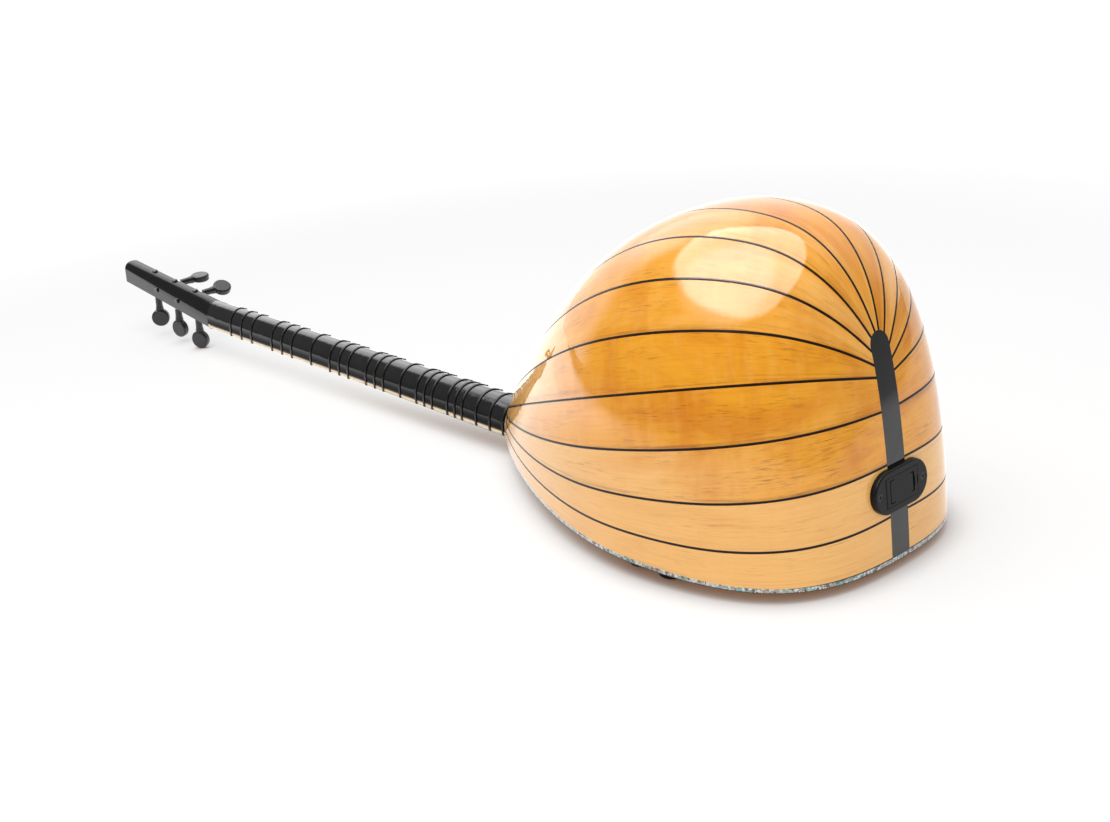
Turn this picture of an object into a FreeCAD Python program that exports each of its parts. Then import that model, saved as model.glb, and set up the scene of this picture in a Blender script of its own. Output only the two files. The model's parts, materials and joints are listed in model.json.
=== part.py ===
import FreeCAD, Part
import math
import os
from FreeCAD import Placement, Rotation, Vector

# Long-necked baglama saz with a staved bowl, an electric pickup and five friction pegs.
#
# The instrument is modelled in its own frame first: +X from the neck joint to the tail,
# +Z from the soundboard's outer face up into the back of the bowl, -Y on the side of the
# control knobs, zero where the neck meets the bowl on the soundboard's outer face.
# lay_down() then rests it on the bridge and on the lowest peg, with the back of the bowl
# up, and puts the origin at the middle of the footprint. All sizes are in millimetres.

# ---------------------------------------------------------------- driving dimensions

GLUE_GAP = 0.02                  # film between glued faces
BLOCK_GAP = 0.3                  # film of glue between the blocks and the ribs
RUNNING_GAP = 0.05               # radial play of a shaft that turns in its bore
CLEARANCE = 0.3                  # between separate moving bodies

# strings and frets
SCALE_LENGTH = 880.0             # nut to bridge
FRET_SEMITONES = (1, 1.5, 2, 3, 3.5, 4, 5, 6, 6.5, 7, 8, 8.5, 9, 10,
                  11, 11.5, 12, 13, 13.5, 14, 15, 16, 17)
FRET_BAND = 2.4                  # width of one tied fret along the neck
FRET_HEIGHT = 0.8
STRING_RADII = (0.25, 0.45, 0.30, 0.25, 0.25)
STRING_Y_AT_NUT = (-9.0, -6.6, 0.0, 6.6, 9.0)
STRING_Y_AT_BRIDGE = (-15.0, -12.0, 0.0, 12.0, 15.0)

FRET_PLAY = 0.05                 # between a fret's loops and the neck

# neck
NECK_LENGTH = 555.0              # nut to body joint
NECK_WIDTH_AT_NUT = 29.0
NECK_WIDTH_AT_JOINT = 42.0
NECK_DEPTH = 28.0
NECK_SIDE = 5.0                  # height of the straight sides below the round back
NECK_ROUNDING = 2.05             # 2 is an ellipse, more is squarer
FINGERBOARD_THICKNESS = 3.6
NUT_LENGTH = 5.0
NUT_HEIGHT = 2.2                 # above the fingerboard's face
SLOT_PLAY = 0.2                  # round a string in its slot
SLOT_DEPTH_AT_NUT = 0.5          # of a string's middle below the nut's top
TENON_LENGTH = 42.0
TENON_WIDTH = 18.0
TENON_DEPTH = 15.0

# head
HEAD_LENGTH = 212.0
HEAD_ANGLE = 6.0                 # how far the head leans back from the neck, in degrees
HEAD_TIP_WIDTH = 22.0
HEAD_TIP_DEPTH = 25.0
HEAD_TIP_SIDE = 15.0
HEAD_TIP_ROUNDING = 2.3
HEAD_TIP_FILLET = 6.0
HEAD_SECTIONS = (20.0, 80.0, 145.0, HEAD_LENGTH)
SPLICE_LENGTH = 32.0
SPLICE_WIDTH = 9.0
SPLICE_Z = (7.0, 20.0)

# pegs
FRONT_PEGS_FROM_NUT = (148.0, 99.0, 50.0)
SIDE_PEGS_FROM_NUT = (124.0, 73.0)
SIDE_PEG_RISE = 12.0             # of a side peg's axis above the head's front face
PEG_TAPER = 1.0 / 30.0
PEG_RADIUS = 3.9                 # where the shaft enters the head
PEG_TIP_PROUD = 2.0
PEG_SHAFT_LENGTH = 24.0          # between the head and the button
PEG_COLLAR_RADIUS = 5.0
PEG_COLLAR_LENGTH = 5.0          # of the flare between the shaft and the button
PEG_BUTTON_RADIUS = 11.0
PEG_BUTTON_NECK = 3.6            # radius between the collar and the button
PEG_BUTTON_THICKNESS = 8.0
PEG_BUTTON_FILLET = 2.2
FRONT_PEG_TURNS = (-40.0, -74.0, -63.0)
SIDE_PEG_TURNS = (90.0, 65.0)
PEG_TIP_ROUNDING = 0.8
WINDING_TURNS = 6
WINDING_START = 3.0              # from the head's face to the first turn
STRING_EDGE_SHARE = 0.5          # where a side string crosses the head's edge, on its way to the peg

# bowl
BOWL_LENGTH = 430.0
BOWL_WIDTH = 256.0
BOWL_WIDEST_AT = 272.0
BOWL_DEPTH = 253.0
BOWL_DEEPEST_AT = 310.0
BOWL_DEPTH_AT_JOINT = 31.0
PLAN_START_ANGLE = 55.0          # of the outline against the neck, in degrees
PLAN_HANDLES = (0.05, 0.43, 0.97, 0.43)
BACK_START_ANGLE = 44.0
BACK_HANDLES = (0.17, 0.48, 0.73, 0.85)
SECTION_POWER = 2.44             # 2 is an ellipse, more is squarer
BELLY_STATION = 258.0            # where the ribs' belly widths are measured
RIB_THICKNESS = 3.5
PURFLING_WIDTH = 1.2
# widths of the ribs from the rim up to the crest, in proportion to each other
RIB_WIDTHS_AT_JOINT = (13.0, 7.0, 3.8, 3.4, 3.0, 3.0, 3.2, 3.5, 5.6)
RIB_WIDTHS_AT_BELLY = (24.0, 28.0, 34.0, 41.0, 44.0, 41.0, 38.0, 39.5, 41.3)
RIB_WIDTHS_AT_TAIL = (37.0, 40.0, 39.0, 23.0, 5.0, 5.0, 5.5, 5.0, 27.0)
RIBS_TOP_AT_TAIL = 173.0         # of the middle of the crest rib, where the ribs meet the strip
RIB_STATIONS = 12                # sections along a rib
STATION_CROWDING = 0.6           # 0 spaces them evenly, more draws them to the ends
RIB_END_UNDER_STRIP = 4.0        # how far each rib's end reaches below the tail strip
STRIP_WIDTH = 20.0
STRIP_TOP = 173.0
CUT_PAST_TAIL = 10.0             # how far the strip's cutter reaches past the tail
NECK_BLOCK_LENGTH = 52.0
TAIL_BLOCK_WIDTH = 84.0
TAIL_BLOCK_DEPTH = 30.0
TAIL_BLOCK_TOP = 158.0

# soundboard
SOUNDBOARD_THICKNESS = 3.6
BINDING_WIDTH = 2.0
EDGE_LINE_HEIGHT = 0.6

# bridge and string anchor
BRIDGE_HEIGHT = 11.0
BRIDGE_LENGTH = 72.0
BRIDGE_FOOT = 6.0                # thickness at the feet
BRIDGE_CROWN = 3.0               # thickness at the top
BRIDGE_FOOT_HEIGHT = 2.5
BRIDGE_CROWN_LENGTH = 58.0
BRIDGE_ARCH_RADIUS = 4.6
BRIDGE_ARCH_LENGTH = 22.0
BRIDGE_ARCH_SPAN = 17.0          # middle of each arch from the middle of the bridge
ANCHOR_FROM_TAIL = 16.0
ANCHOR_LENGTH = 8.0
ANCHOR_WIDTH = 44.0
ANCHOR_HEIGHT = 5.0
ANCHOR_FILLET = 1.0
ANCHOR_HOLE_RADIUS = 0.75
ANCHOR_HOLE_RISE = 3.0

# battery box in the tail
BOX_RISE = 57.5                  # of its middle above the soundboard
FLANGE_LENGTH = 60.0
FLANGE_HEIGHT = 33.0
FLANGE_THICKNESS = 4.0
FLANGE_FILLET = 1.4
DOOR_LENGTH = 36.0
DOOR_HEIGHT = 22.0
DOOR_THICKNESS = 2.4
BOX_WALL = 1.6
BATTERY_SIZE = (46.0, 26.5, 17.5)
BATTERY_PLAY = 0.5
BATTERY_CORNER = 2.0
SNAP_HEIGHT = 2.5
SNAP_RADII = (2.9, 3.8)
SNAP_SPACING = 12.7
CONTACT_SIZE = 9.0
CONTACT_THICKNESS = 1.0
HINGE_RADIUS = 1.3
HINGE_PIN_RADIUS = 0.7
HINGE_PIN_PROUD = 2.5            # of the pin past each end of the door
LATCH_WIDTH = 4.0
LATCH_HEIGHT = 15.0
LATCH_THICKNESS = 1.5
LATCH_TRAVEL = 1.2
GROOVE = 0.7                     # width and depth of the lines on the door and the latch
GROOVE_MARGIN = 2.0              # of the door's lines from its edges
GROOVE_TICK = 5.0                # length of a line's turned end
BOX_SCREW_SPACING = 48.5
SCREW_SLOT = 0.6                 # width of the cross in a screw's head
SCREW_SLOT_LENGTH = 3.4
SCREW_SLOT_DEPTH = 1.0
BOX_SCREW_RADIUS = 1.3
BOX_SCREW_HEAD_RADIUS = 2.9
BOX_SCREW_LENGTH = 15.0

# control knobs
KNOBS_AT = (268.0, 300.0)
KNOB_FROM_EDGE = 23.0            # of a knob's middle from the soundboard's outline
KNOB_RADIUS = 12.0
KNOB_HEIGHT = 9.8
KNOB_LIFT = 0.6
KNOB_FLUTES = 30
KNOB_FLUTE_RADIUS = 0.7
KNOB_RECESS_RADIUS = 7.6
KNOB_TOP_FILLET = 1.6
POT_RADIUS = 8.3
POT_HEIGHT = 8.0
BUSHING_RADIUS = 3.5
BUSHING_PROUD = 4.4
POT_SHAFT_RADIUS = 2.5
POT_SHAFT_PROUD = 8.6
POT_NUT_RADIUS = 6.2
POT_NUT_HEIGHT = 2.2
BOARD_SIZE = (66.0, 26.0, 1.6)
CHIP_SIZE = (9.0, 6.0, 2.0)
CHIP_SPACING = 24.0
CAN_RADIUS = 2.5
CAN_HEIGHT = 6.0
CAN_SPACING = 26.0
CAN_FROM_MIDDLE = 6.0            # across the board

# pickup and output jack
PICKUP_RADIUS = 13.5
PICKUP_THICKNESS = 0.8
JACK_FROM_TAIL = 45.0
JACK_RISE = 50.0
JACK_BORE_RADIUS = 3.3
JACK_BARREL_RADIUS = 5.8
JACK_BARREL_LENGTH = 26.0
JACK_FLANGE_RADIUS = 10.0
JACK_FLANGE_HEIGHT = 2.4
JACK_SEAT_DEPTH = 0.8
JACK_NUT_RADIUS = 8.0
JACK_NUT_HEIGHT = 3.0

PEG_NAMES = ("front_1", "front_2", "front_3", "side_1", "side_2")
LOWEST_PEG = "front_3"
KNOB_NAMES = ("volume", "tone")

X_AXIS = Vector(1, 0, 0)
Y_AXIS = Vector(0, 1, 0)
Z_AXIS = Vector(0, 0, 1)


# ---------------------------------------------------------------- small helpers

def bisect(function, low, high, steps=48):
    """Root of a function that changes sign once between low and high."""
    low_sign = function(low) > 0
    for _ in range(steps):
        middle = (low + high) / 2
        if (function(middle) > 0) == low_sign:
            low = middle
        else:
            high = middle
    return (low + high) / 2


def blend(start, end, share):
    return start + (end - start) * share


def box(x_range, y_range, z_range):
    corner = Vector(x_range[0], y_range[0], z_range[0])
    return Part.makeBox(x_range[1] - x_range[0], y_range[1] - y_range[0], z_range[1] - z_range[0], corner)


def centred_box(centre, size):
    low = centre - size * 0.5
    return Part.makeBox(size.x, size.y, size.z, low)


def rod(radius, start, end):
    return Part.makeCylinder(radius, start.distanceToPoint(end), start, end - start)


def spline(points):
    curve = Part.BSplineCurve()
    curve.interpolate(points)
    return curve.toShape()


def line(start, end):
    return Part.LineSegment(start, end).toShape()


def arc(start, middle, end):
    return Part.Arc(start, middle, end).toShape()


def revolve(profile, axis=Z_AXIS):
    """Solid of revolution about an axis through zero, from a closed list of points."""
    face = Part.Face(Part.makePolygon(profile + [profile[0]]))
    return face.revolve(Vector(0, 0, 0), axis, 360)


def mirrored(shape):
    return shape.mirror(Vector(0, 0, 0), Y_AXIS)


# ---------------------------------------------------------------- the bowl's surface

class BowlCurve:
    """Half width or depth of the bowl along X: one Bezier arc up to the peak, one down."""

    def __init__(self, start, peak_at, peak, start_angle, handles):
        reach = handles[0] * peak_at
        angle = math.radians(start_angle)
        tail_run = BOWL_LENGTH - peak_at
        self.peak_at = peak_at
        self.known = {}
        self.rise = ((0.0, start),
                     (reach * math.cos(angle), start + reach * math.sin(angle)),
                     (peak_at - handles[1] * peak_at, peak),
                     (peak_at, peak))
        self.fall = ((peak_at, peak),
                     (peak_at + handles[2] * tail_run, peak),
                     (BOWL_LENGTH, handles[3] * peak),
                     (BOWL_LENGTH, 0.0))

    @staticmethod
    def point(poles, t):
        weights = ((1 - t) ** 3, 3 * t * (1 - t) ** 2, 3 * t * t * (1 - t), t ** 3)
        return tuple(sum(w * pole[i] for w, pole in zip(weights, poles)) for i in (0, 1))

    @staticmethod
    def tangent(poles, t):
        weights = ((1 - t) ** 2, 2 * t * (1 - t), t * t)
        steps = [(b[0] - a[0], b[1] - a[1]) for a, b in zip(poles, poles[1:])]
        return tuple(sum(w * step[i] for w, step in zip(weights, steps)) for i in (0, 1))

    def parameter(self, x):
        poles = self.rise if x < self.peak_at else self.fall
        return poles, bisect(lambda t: self.point(poles, t)[0] - x, 0.0, 1.0)

    def value(self, x):
        if x not in self.known:
            poles, t = self.parameter(x)
            self.known[x] = self.point(poles, t)[1]
        return self.known[x]

    def slope(self, x):
        poles, t = self.parameter(x)
        run, rise = self.tangent(poles, t)
        return rise / max(run, 1e-6)

    def tail_position(self, value):
        """Where the falling arc comes down to a value."""
        t = bisect(lambda t: self.point(self.fall, t)[1] - value, 0.0, 1.0)
        return self.point(self.fall, t)[0]

    def edges(self, sign):
        """Both arcs as edges in the soundboard's plane, on the side given by sign."""
        shapes = []
        for poles in (self.rise, self.fall):
            curve = Part.BezierCurve()
            curve.setPoles([Vector(x, sign * y, 0) for x, y in poles])
            shapes.append(curve.toShape())
        return shapes


PLAN = BowlCurve(NECK_WIDTH_AT_JOINT / 2, BOWL_WIDEST_AT, BOWL_WIDTH / 2,
                 PLAN_START_ANGLE, PLAN_HANDLES)
BACK = BowlCurve(BOWL_DEPTH_AT_JOINT, BOWL_DEEPEST_AT, BOWL_DEPTH,
                 BACK_START_ANGLE, BACK_HANDLES)
KNOB_Y = KNOB_FROM_EDGE - PLAN.value(KNOBS_AT[0])


def bowl_point(x, angle):
    """Point on the bowl at a section, from 0 at the near rim over 90 to 180 degrees."""
    cosine = math.cos(angle)
    reach = abs(cosine) ** (2 / SECTION_POWER)
    height = max(math.sin(angle), 0.0) ** (2 / SECTION_POWER)
    return Vector(x, -math.copysign(reach, cosine) * PLAN.value(x), height * BACK.value(x))


def bowl_normal(point):
    """Outward normal of the bowl at a point of its surface."""
    width = PLAN.value(point.x)
    depth = BACK.value(point.x)
    across = (abs(point.y) / width) ** SECTION_POWER
    upwards = (point.z / depth) ** SECTION_POWER
    y_part = 0.0 if abs(point.y) < 1e-9 else across / point.y
    z_part = 0.0 if point.z < 1e-9 else upwards / point.z
    x_part = -(across * PLAN.slope(point.x) / width + upwards * BACK.slope(point.x) / depth)
    return Vector(x_part, y_part, z_part).normalize()


def inside_point(point, thickness, in_section=False):
    """Point below the surface by a thickness, along the normal or within its own section."""
    normal = bowl_normal(point)
    if in_section:
        flat = Vector(0, normal.y, normal.z)
        return point - flat * (thickness / flat.dot(flat))
    return point - normal * thickness


def tail_x(y, z, inset=0.0):
    """Position of the bowl's tail face at a place seen from behind."""
    def beyond(x):
        return (abs(y) / PLAN.value(x)) ** SECTION_POWER + (z / BACK.value(x)) ** SECTION_POWER - 1
    x = bisect(beyond, BOWL_DEEPEST_AT, BOWL_LENGTH - 1e-6)
    if inset == 0:
        return x
    return x - inset / bowl_normal(Vector(x, y, z)).x


def on_bowl(point):
    """Point of the bowl's surface on the ray from the middle of the bowl through a point."""
    centre = Vector(min(point.x, BOWL_DEEPEST_AT), 0, 0)

    def outside(reach):
        place = centre + (point - centre) * reach
        if place.x >= BOWL_LENGTH:
            return 1.0
        across = abs(place.y) / PLAN.value(place.x)
        upwards = place.z / BACK.value(place.x)
        return across ** SECTION_POWER + upwards ** SECTION_POWER - 1
    return centre + (point - centre) * bisect(outside, 0.5, 1.5, 32)


def angle_at_share(x, share, steps=300):
    """Angle that cuts off a share of the section's arc between the rim and the crest."""
    points = [bowl_point(x, math.pi / 2 * i / steps) for i in range(steps + 1)]
    lengths = [start.distanceToPoint(end) for start, end in zip(points, points[1:])]
    left = share * sum(lengths)
    for i, length in enumerate(lengths):
        if length >= left:
            return math.pi / 2 * (i + left / length) / steps
        left -= length
    return math.pi / 2


class RibLine:
    """Planar joint between two ribs, from the neck over the belly to the tail strip."""

    def __init__(self, joint_share, belly_share, tail_share):
        height = tail_share * RIBS_TOP_AT_TAIL
        tail = Vector(BACK.tail_position(height), 0, height)
        self.origin = bowl_point(0.0, angle_at_share(0.0, joint_share))
        belly = bowl_point(BELLY_STATION, angle_at_share(BELLY_STATION, belly_share))
        self.normal = (belly - self.origin).cross(tail - self.origin).normalize()
        self.measure(tail.x)

    def angle(self, x):
        def side(angle):
            return self.normal.dot(bowl_point(x, angle) - self.origin)
        return bisect(side, 1e-4, math.pi / 2)

    def measure(self, tail, steps=90):
        """Walk the line to its end under the tail strip and note the arc length on the way."""
        def inside_strip(x):
            point = bowl_point(x, self.angle(x))
            above = max(point.z - (STRIP_TOP - STRIP_WIDTH / 2), 0.0)
            return STRIP_WIDTH / 2 - RIB_END_UNDER_STRIP - math.hypot(point.y, above)
        end = bisect(inside_strip, BOWL_DEEPEST_AT, tail - 1e-6)
        self.stops = []
        length = 0.0
        last = bowl_point(0.0, self.angle(0.0))
        for i in range(steps + 1):
            x = end * (1 - (1 - i / steps) ** 3)
            point = bowl_point(x, self.angle(x))
            length += last.distanceToPoint(point)
            self.stops.append((length, x))
            last = point

    def place(self, share):
        """Section and angle of the line at a share of its length."""
        target = share * self.stops[-1][0]
        for (low, x_low), (high, x_high) in zip(self.stops, self.stops[1:]):
            if high >= target:
                x = blend(x_low, x_high, (target - low) / (high - low))
                return x, self.angle(x)
        x = self.stops[-1][1]
        return x, self.angle(x)


class RimLine(RibLine):
    """Lower edge of the lowest ribs, where they stand on the soundboard."""

    def __init__(self):
        self.origin = Vector(0, 0, SOUNDBOARD_THICKNESS + GLUE_GAP)
        self.normal = Z_AXIS
        self.measure(BACK.tail_position(SOUNDBOARD_THICKNESS))


def joint_shares(widths):
    """Where the joints lie between the rim and the middle of the crest rib, as shares."""
    whole = sum(widths) - widths[-1] / 2
    return [sum(widths[:count]) / whole for count in range(1, len(widths))]


def rib_lines():
    """The rim and the joints above it on the near side, from the lowest up."""
    shares = zip(joint_shares(RIB_WIDTHS_AT_JOINT), joint_shares(RIB_WIDTHS_AT_BELLY),
                 joint_shares(RIB_WIDTHS_AT_TAIL))
    return [RimLine()] + [RibLine(*trio) for trio in shares]


def rib_points(lines, index, share, margin):
    """Three points across the outer face of a rib, with a margin off each glued edge."""
    low = bowl_point(*lines[index].place(share))
    if index + 1 < len(lines):
        high = bowl_point(*lines[index + 1].place(share))
    else:
        high = Vector(low.x, -low.y, low.z)
    middle = on_bowl(blend(low, high, 0.5))
    inset = margin / (low.distanceToPoint(middle) + middle.distanceToPoint(high))
    first = on_bowl(blend(low, high, inset)) if index > 0 else low
    return [first, middle, on_bowl(blend(low, high, 1 - inset))]


def flattened(points):
    """Ring of points moved onto the plane through both ends of its outer side."""
    outer_end = points[len(points) // 2 - 1]
    normal = (outer_end - points[0]).cross(points[-1] - points[0]).normalize()
    return [point - normal * normal.dot(point - points[0]) for point in points]


def skin_wire(outer, share):
    """Closed section through a rib or a purfling, from points across its outer face."""
    inner = [inside_point(point, RIB_THICKNESS, share == 0) for point in outer]
    if share == 1:
        ring = flattened(outer + inner[::-1])
        outer, inner = ring[:len(outer)], ring[:len(outer) - 1:-1]
    across = spline if len(outer) > 2 else lambda points: line(*points)
    return Part.Wire([across(outer), line(outer[-1], inner[-1]),
                      across(inner[::-1]), line(inner[0], outer[0])])


def rib_shares():
    """Stations along a rib as shares of its length, closer together towards both ends."""
    even = [i / RIB_STATIONS for i in range(RIB_STATIONS + 1)]
    return [share - STATION_CROWDING * math.sin(2 * math.pi * share) / (2 * math.pi) for share in even]


def make_ribs(lines, cutter):
    """Seventeen ribs, from the lowest on the near side over to the lowest on the far side."""
    near = []
    for index in range(len(lines)):
        wires = []
        for share in rib_shares():
            points = rib_points(lines, index, share, PURFLING_WIDTH / 2 + GLUE_GAP)
            wires.append(skin_wire(points, share))
        near.append(Part.makeLoft(wires, True, False).cut(cutter))
    return near + [mirrored(rib) for rib in near[-2::-1]]


def make_purflings(lines, cutter):
    strips = []
    for index in range(1, len(lines)):
        wires = []
        for share in rib_shares():
            low = rib_points(lines, index - 1, share, PURFLING_WIDTH / 2)[-1]
            high = rib_points(lines, index, share, PURFLING_WIDTH / 2)[0]
            wires.append(skin_wire([low, high], share))
        strip = Part.makeLoft(wires, True, False).cut(cutter)
        strips += [strip, mirrored(strip)]
    return Part.makeCompound(strips)


# ---------------------------------------------------------------- tail strip and blocks

def strip_prism():
    """Outline of the tail strip, seen from behind, run through the tail of the bowl."""
    half = STRIP_WIDTH / 2
    shoulder = STRIP_TOP - half
    near_foot = Vector(BOWL_DEEPEST_AT, -half, SOUNDBOARD_THICKNESS)
    near_top = Vector(BOWL_DEEPEST_AT, -half, shoulder)
    far_top = Vector(BOWL_DEEPEST_AT, half, shoulder)
    far_foot = Vector(BOWL_DEEPEST_AT, half, SOUNDBOARD_THICKNESS)
    crown = Vector(BOWL_DEEPEST_AT, 0, STRIP_TOP)
    outline = Part.Wire([line(near_foot, near_top), arc(near_top, crown, far_top),
                         line(far_top, far_foot), line(far_foot, near_foot)])
    return Part.Face(outline).extrude(Vector(BOWL_LENGTH - BOWL_DEEPEST_AT + CUT_PAST_TAIL, 0, 0))


def tail_solid(half_width, z_range, inset, front, sections=9):
    """Block behind the tail face, with a flat front: front gives its X at a height."""
    wires = []
    for i in range(sections):
        z = blend(z_range[0], z_range[1], i / (sections - 1))
        back = [Vector(tail_x(y, z, inset), y, z)
                for y in (-half_width, -half_width / 2, 0, half_width / 2, half_width)]
        near = Vector(front(z), -half_width, z)
        far = Vector(front(z), half_width, z)
        wires.append(Part.Wire([spline(back), line(back[-1], far), line(far, near), line(near, back[0])]))
    return Part.makeLoft(wires, True, False)


def make_tail_strip(prism):
    half = STRIP_WIDTH / 2 + 1
    wires = []
    for i in range(11):
        z = blend(SOUNDBOARD_THICKNESS, STRIP_TOP + 1, i / 10)
        outer = [Vector(tail_x(y, z), y, z) for y in (-half, 0, half)]
        inner = [Vector(tail_x(y, z, RIB_THICKNESS), y, z) for y in (half, 0, -half)]
        wires.append(Part.Wire([spline(outer), line(outer[-1], inner[0]),
                                spline(inner), line(inner[-1], outer[0])]))
    return Part.makeLoft(wires, True, False).common(prism)


def make_tail_block():
    front = BOWL_LENGTH - RIB_THICKNESS - TAIL_BLOCK_DEPTH
    return tail_solid(TAIL_BLOCK_WIDTH / 2, (SOUNDBOARD_THICKNESS, TAIL_BLOCK_TOP),
                      RIB_THICKNESS + BLOCK_GAP, lambda z: front)


def make_neck_block():
    wires = []
    for i in range(6):
        x = NECK_BLOCK_LENGTH * i / 5
        foot = bisect(lambda a: bowl_point(x, a).z - SOUNDBOARD_THICKNESS, 0.0, math.pi / 2)
        angles = [blend(foot, math.pi - foot, k / 10) for k in range(11)]
        arch = [inside_point(bowl_point(x, a), RIB_THICKNESS + BLOCK_GAP, True) for a in angles]
        arch[0].z = SOUNDBOARD_THICKNESS
        arch[-1].z = SOUNDBOARD_THICKNESS
        wires.append(Part.Wire([spline(arch), line(arch[-1], arch[0])]))
    block = Part.makeLoft(wires, True, False)
    half = TENON_WIDTH / 2 + GLUE_GAP
    top = FINGERBOARD_THICKNESS + TENON_DEPTH + GLUE_GAP
    return block.cut(box((-1, TENON_LENGTH + GLUE_GAP), (-half, half), (0, top)))


# ---------------------------------------------------------------- soundboard

def board_line(sign):
    """Seam between soundboard and binding on one side, inside the outline."""
    points = []
    for i in range(15):
        x = BOWL_LENGTH * (1 - math.cos(math.pi * i / 14)) / 2
        slope = PLAN.slope(x)
        if i == 0:
            inset = Vector(0, -BINDING_WIDTH * math.hypot(1, slope), 0)
        else:
            inset = Vector(slope, -1, 0).normalize() * BINDING_WIDTH
        edge = Vector(x, PLAN.value(x), 0) + inset
        points.append(Vector(edge.x, sign * max(edge.y, 0.0), 0))
    points[-1] = Vector(BOWL_LENGTH - BINDING_WIDTH, 0, 0)
    return spline(points)


def plate(edges, z_range):
    face = Part.Face(Part.Wire(Part.__sortEdges__(edges)))
    face.translate(Vector(0, 0, z_range[0]))
    return face.extrude(Vector(0, 0, z_range[1] - z_range[0]))


def body_plate(z_range):
    """Plate with the bowl's full outline."""
    half = NECK_WIDTH_AT_JOINT / 2
    end = line(Vector(0, -half, 0), Vector(0, half, 0))
    return plate(PLAN.edges(-1) + PLAN.edges(1) + [end], z_range)


def inner_plate(z_range):
    """Plate within the binding."""
    near = board_line(-1)
    far = board_line(1)
    half = BINDING_WIDTH * math.hypot(1, PLAN.slope(0.0))
    reach = NECK_WIDTH_AT_JOINT / 2 - half
    end = line(Vector(0, -reach, 0), Vector(0, reach, 0))
    return plate([near, far, end], z_range)


def make_soundboard():
    board = inner_plate((0, SOUNDBOARD_THICKNESS))
    hole = rod(BUSHING_RADIUS + RUNNING_GAP, Vector(0, 0, -1), Vector(0, 0, SOUNDBOARD_THICKNESS + 1))
    return board.cut([at_knob(hole, x) for x in KNOBS_AT])


def make_binding(z_range):
    return body_plate(z_range).cut(inner_plate((z_range[0] - 1, z_range[1] + 1)))


# ---------------------------------------------------------------- neck

def neck_half(x):
    """Half width of the neck at a station."""
    return blend(NECK_WIDTH_AT_JOINT, NECK_WIDTH_AT_NUT, -x / NECK_LENGTH) / 2


def arched_wire(place, half, foot, side, top, rounding):
    """Closed section with a flat foot, straight sides and an arched back."""
    def back_point(angle):
        reach = math.copysign(abs(math.cos(angle)) ** (2 / rounding), math.cos(angle))
        rise = abs(math.sin(angle)) ** (2 / rounding)
        return place(half * reach, side + (top - side) * rise)
    back = [back_point(math.pi * i / 8) for i in range(9)]
    near_foot = place(-half, foot)
    far_foot = place(half, foot)
    return Part.Wire([spline(back), line(back[-1], near_foot), line(near_foot, far_foot),
                      line(far_foot, back[0])])


def neck_wire(x, foot=0.0, margin=0.0):
    """Outline of the neck at a station, with its flat side at a height and a margin all round."""
    return arched_wire(lambda y, z: Vector(x, y, z), neck_half(x) + margin, foot - margin,
                       NECK_SIDE, NECK_DEPTH + margin, NECK_ROUNDING)


def make_neck():
    start = -NECK_LENGTH - NUT_LENGTH
    wires = [neck_wire(start, FINGERBOARD_THICKNESS), neck_wire(0.0, FINGERBOARD_THICKNESS)]
    tenon = box((-1, TENON_LENGTH), (-TENON_WIDTH / 2, TENON_WIDTH / 2),
                (FINGERBOARD_THICKNESS, FINGERBOARD_THICKNESS + TENON_DEPTH))
    tongue = box((start - SPLICE_LENGTH, start + 1), (-SPLICE_WIDTH / 2, SPLICE_WIDTH / 2), SPLICE_Z)
    return Part.makeLoft(wires, True, True).fuse([tenon, tongue]).removeSplitter()


def make_fingerboard():
    corners = []
    for x, side in ((-NECK_LENGTH, -1), (0.0, -1), (0.0, 1), (-NECK_LENGTH, 1)):
        corners.append(Vector(x, side * neck_half(x), 0))
    face = Part.Face(Part.makePolygon(corners + [corners[0]]))
    return face.extrude(Vector(0, 0, FINGERBOARD_THICKNESS))


def make_nut():
    half = NECK_WIDTH_AT_NUT / 2 - CLEARANCE
    span = (-NECK_LENGTH - NUT_LENGTH, -NECK_LENGTH)
    nut = box(span, (-half, half), (-NUT_HEIGHT, FINGERBOARD_THICKNESS))
    for y, radius in zip(STRING_Y_AT_NUT, STRING_RADII):
        reach = radius + SLOT_PLAY
        slot = box((span[0] - 1, span[1] + 1), (y - reach, y + reach),
                   (-NUT_HEIGHT - 1, SLOT_DEPTH_AT_NUT - NUT_HEIGHT + reach))
        nut = nut.cut(slot)
    return nut


def make_frets():
    """Tied frets: one D-shaped loop for each that the neck has room for, round it and the fingerboard."""
    loops = []
    for semitones in FRET_SEMITONES:
        x = SCALE_LENGTH * (1 - 2 ** (-semitones / 12)) - NECK_LENGTH - FRET_BAND / 2
        if x + FRET_BAND > 0:
            break
        outer = Part.Face(neck_wire(x, 0.0, FRET_PLAY + FRET_HEIGHT))
        inner = Part.Face(neck_wire(x, 0.0, FRET_PLAY))
        loops.append(outer.cut(inner).extrude(Vector(FRET_BAND, 0, 0)))
    return Part.makeCompound(loops)


# ---------------------------------------------------------------- head

LEAN = math.radians(HEAD_ANGLE)
HEAD_START = Vector(-NECK_LENGTH - NUT_LENGTH, 0, 0)
HEAD_ALONG = Vector(-math.cos(LEAN), 0, math.sin(LEAN))
HEAD_NORMAL = Vector(math.sin(LEAN), 0, math.cos(LEAN))


def head_half(along):
    return blend(NECK_WIDTH_AT_NUT, HEAD_TIP_WIDTH, along / HEAD_LENGTH) / 2


def head_depth(along):
    return blend(NECK_DEPTH, HEAD_TIP_DEPTH, along / HEAD_LENGTH)


def head_point(along, y, depth):
    """Point of the head by its distance from the nut, side and depth below the front face."""
    return HEAD_START + HEAD_ALONG * along + Y_AXIS * y + HEAD_NORMAL * depth


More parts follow.
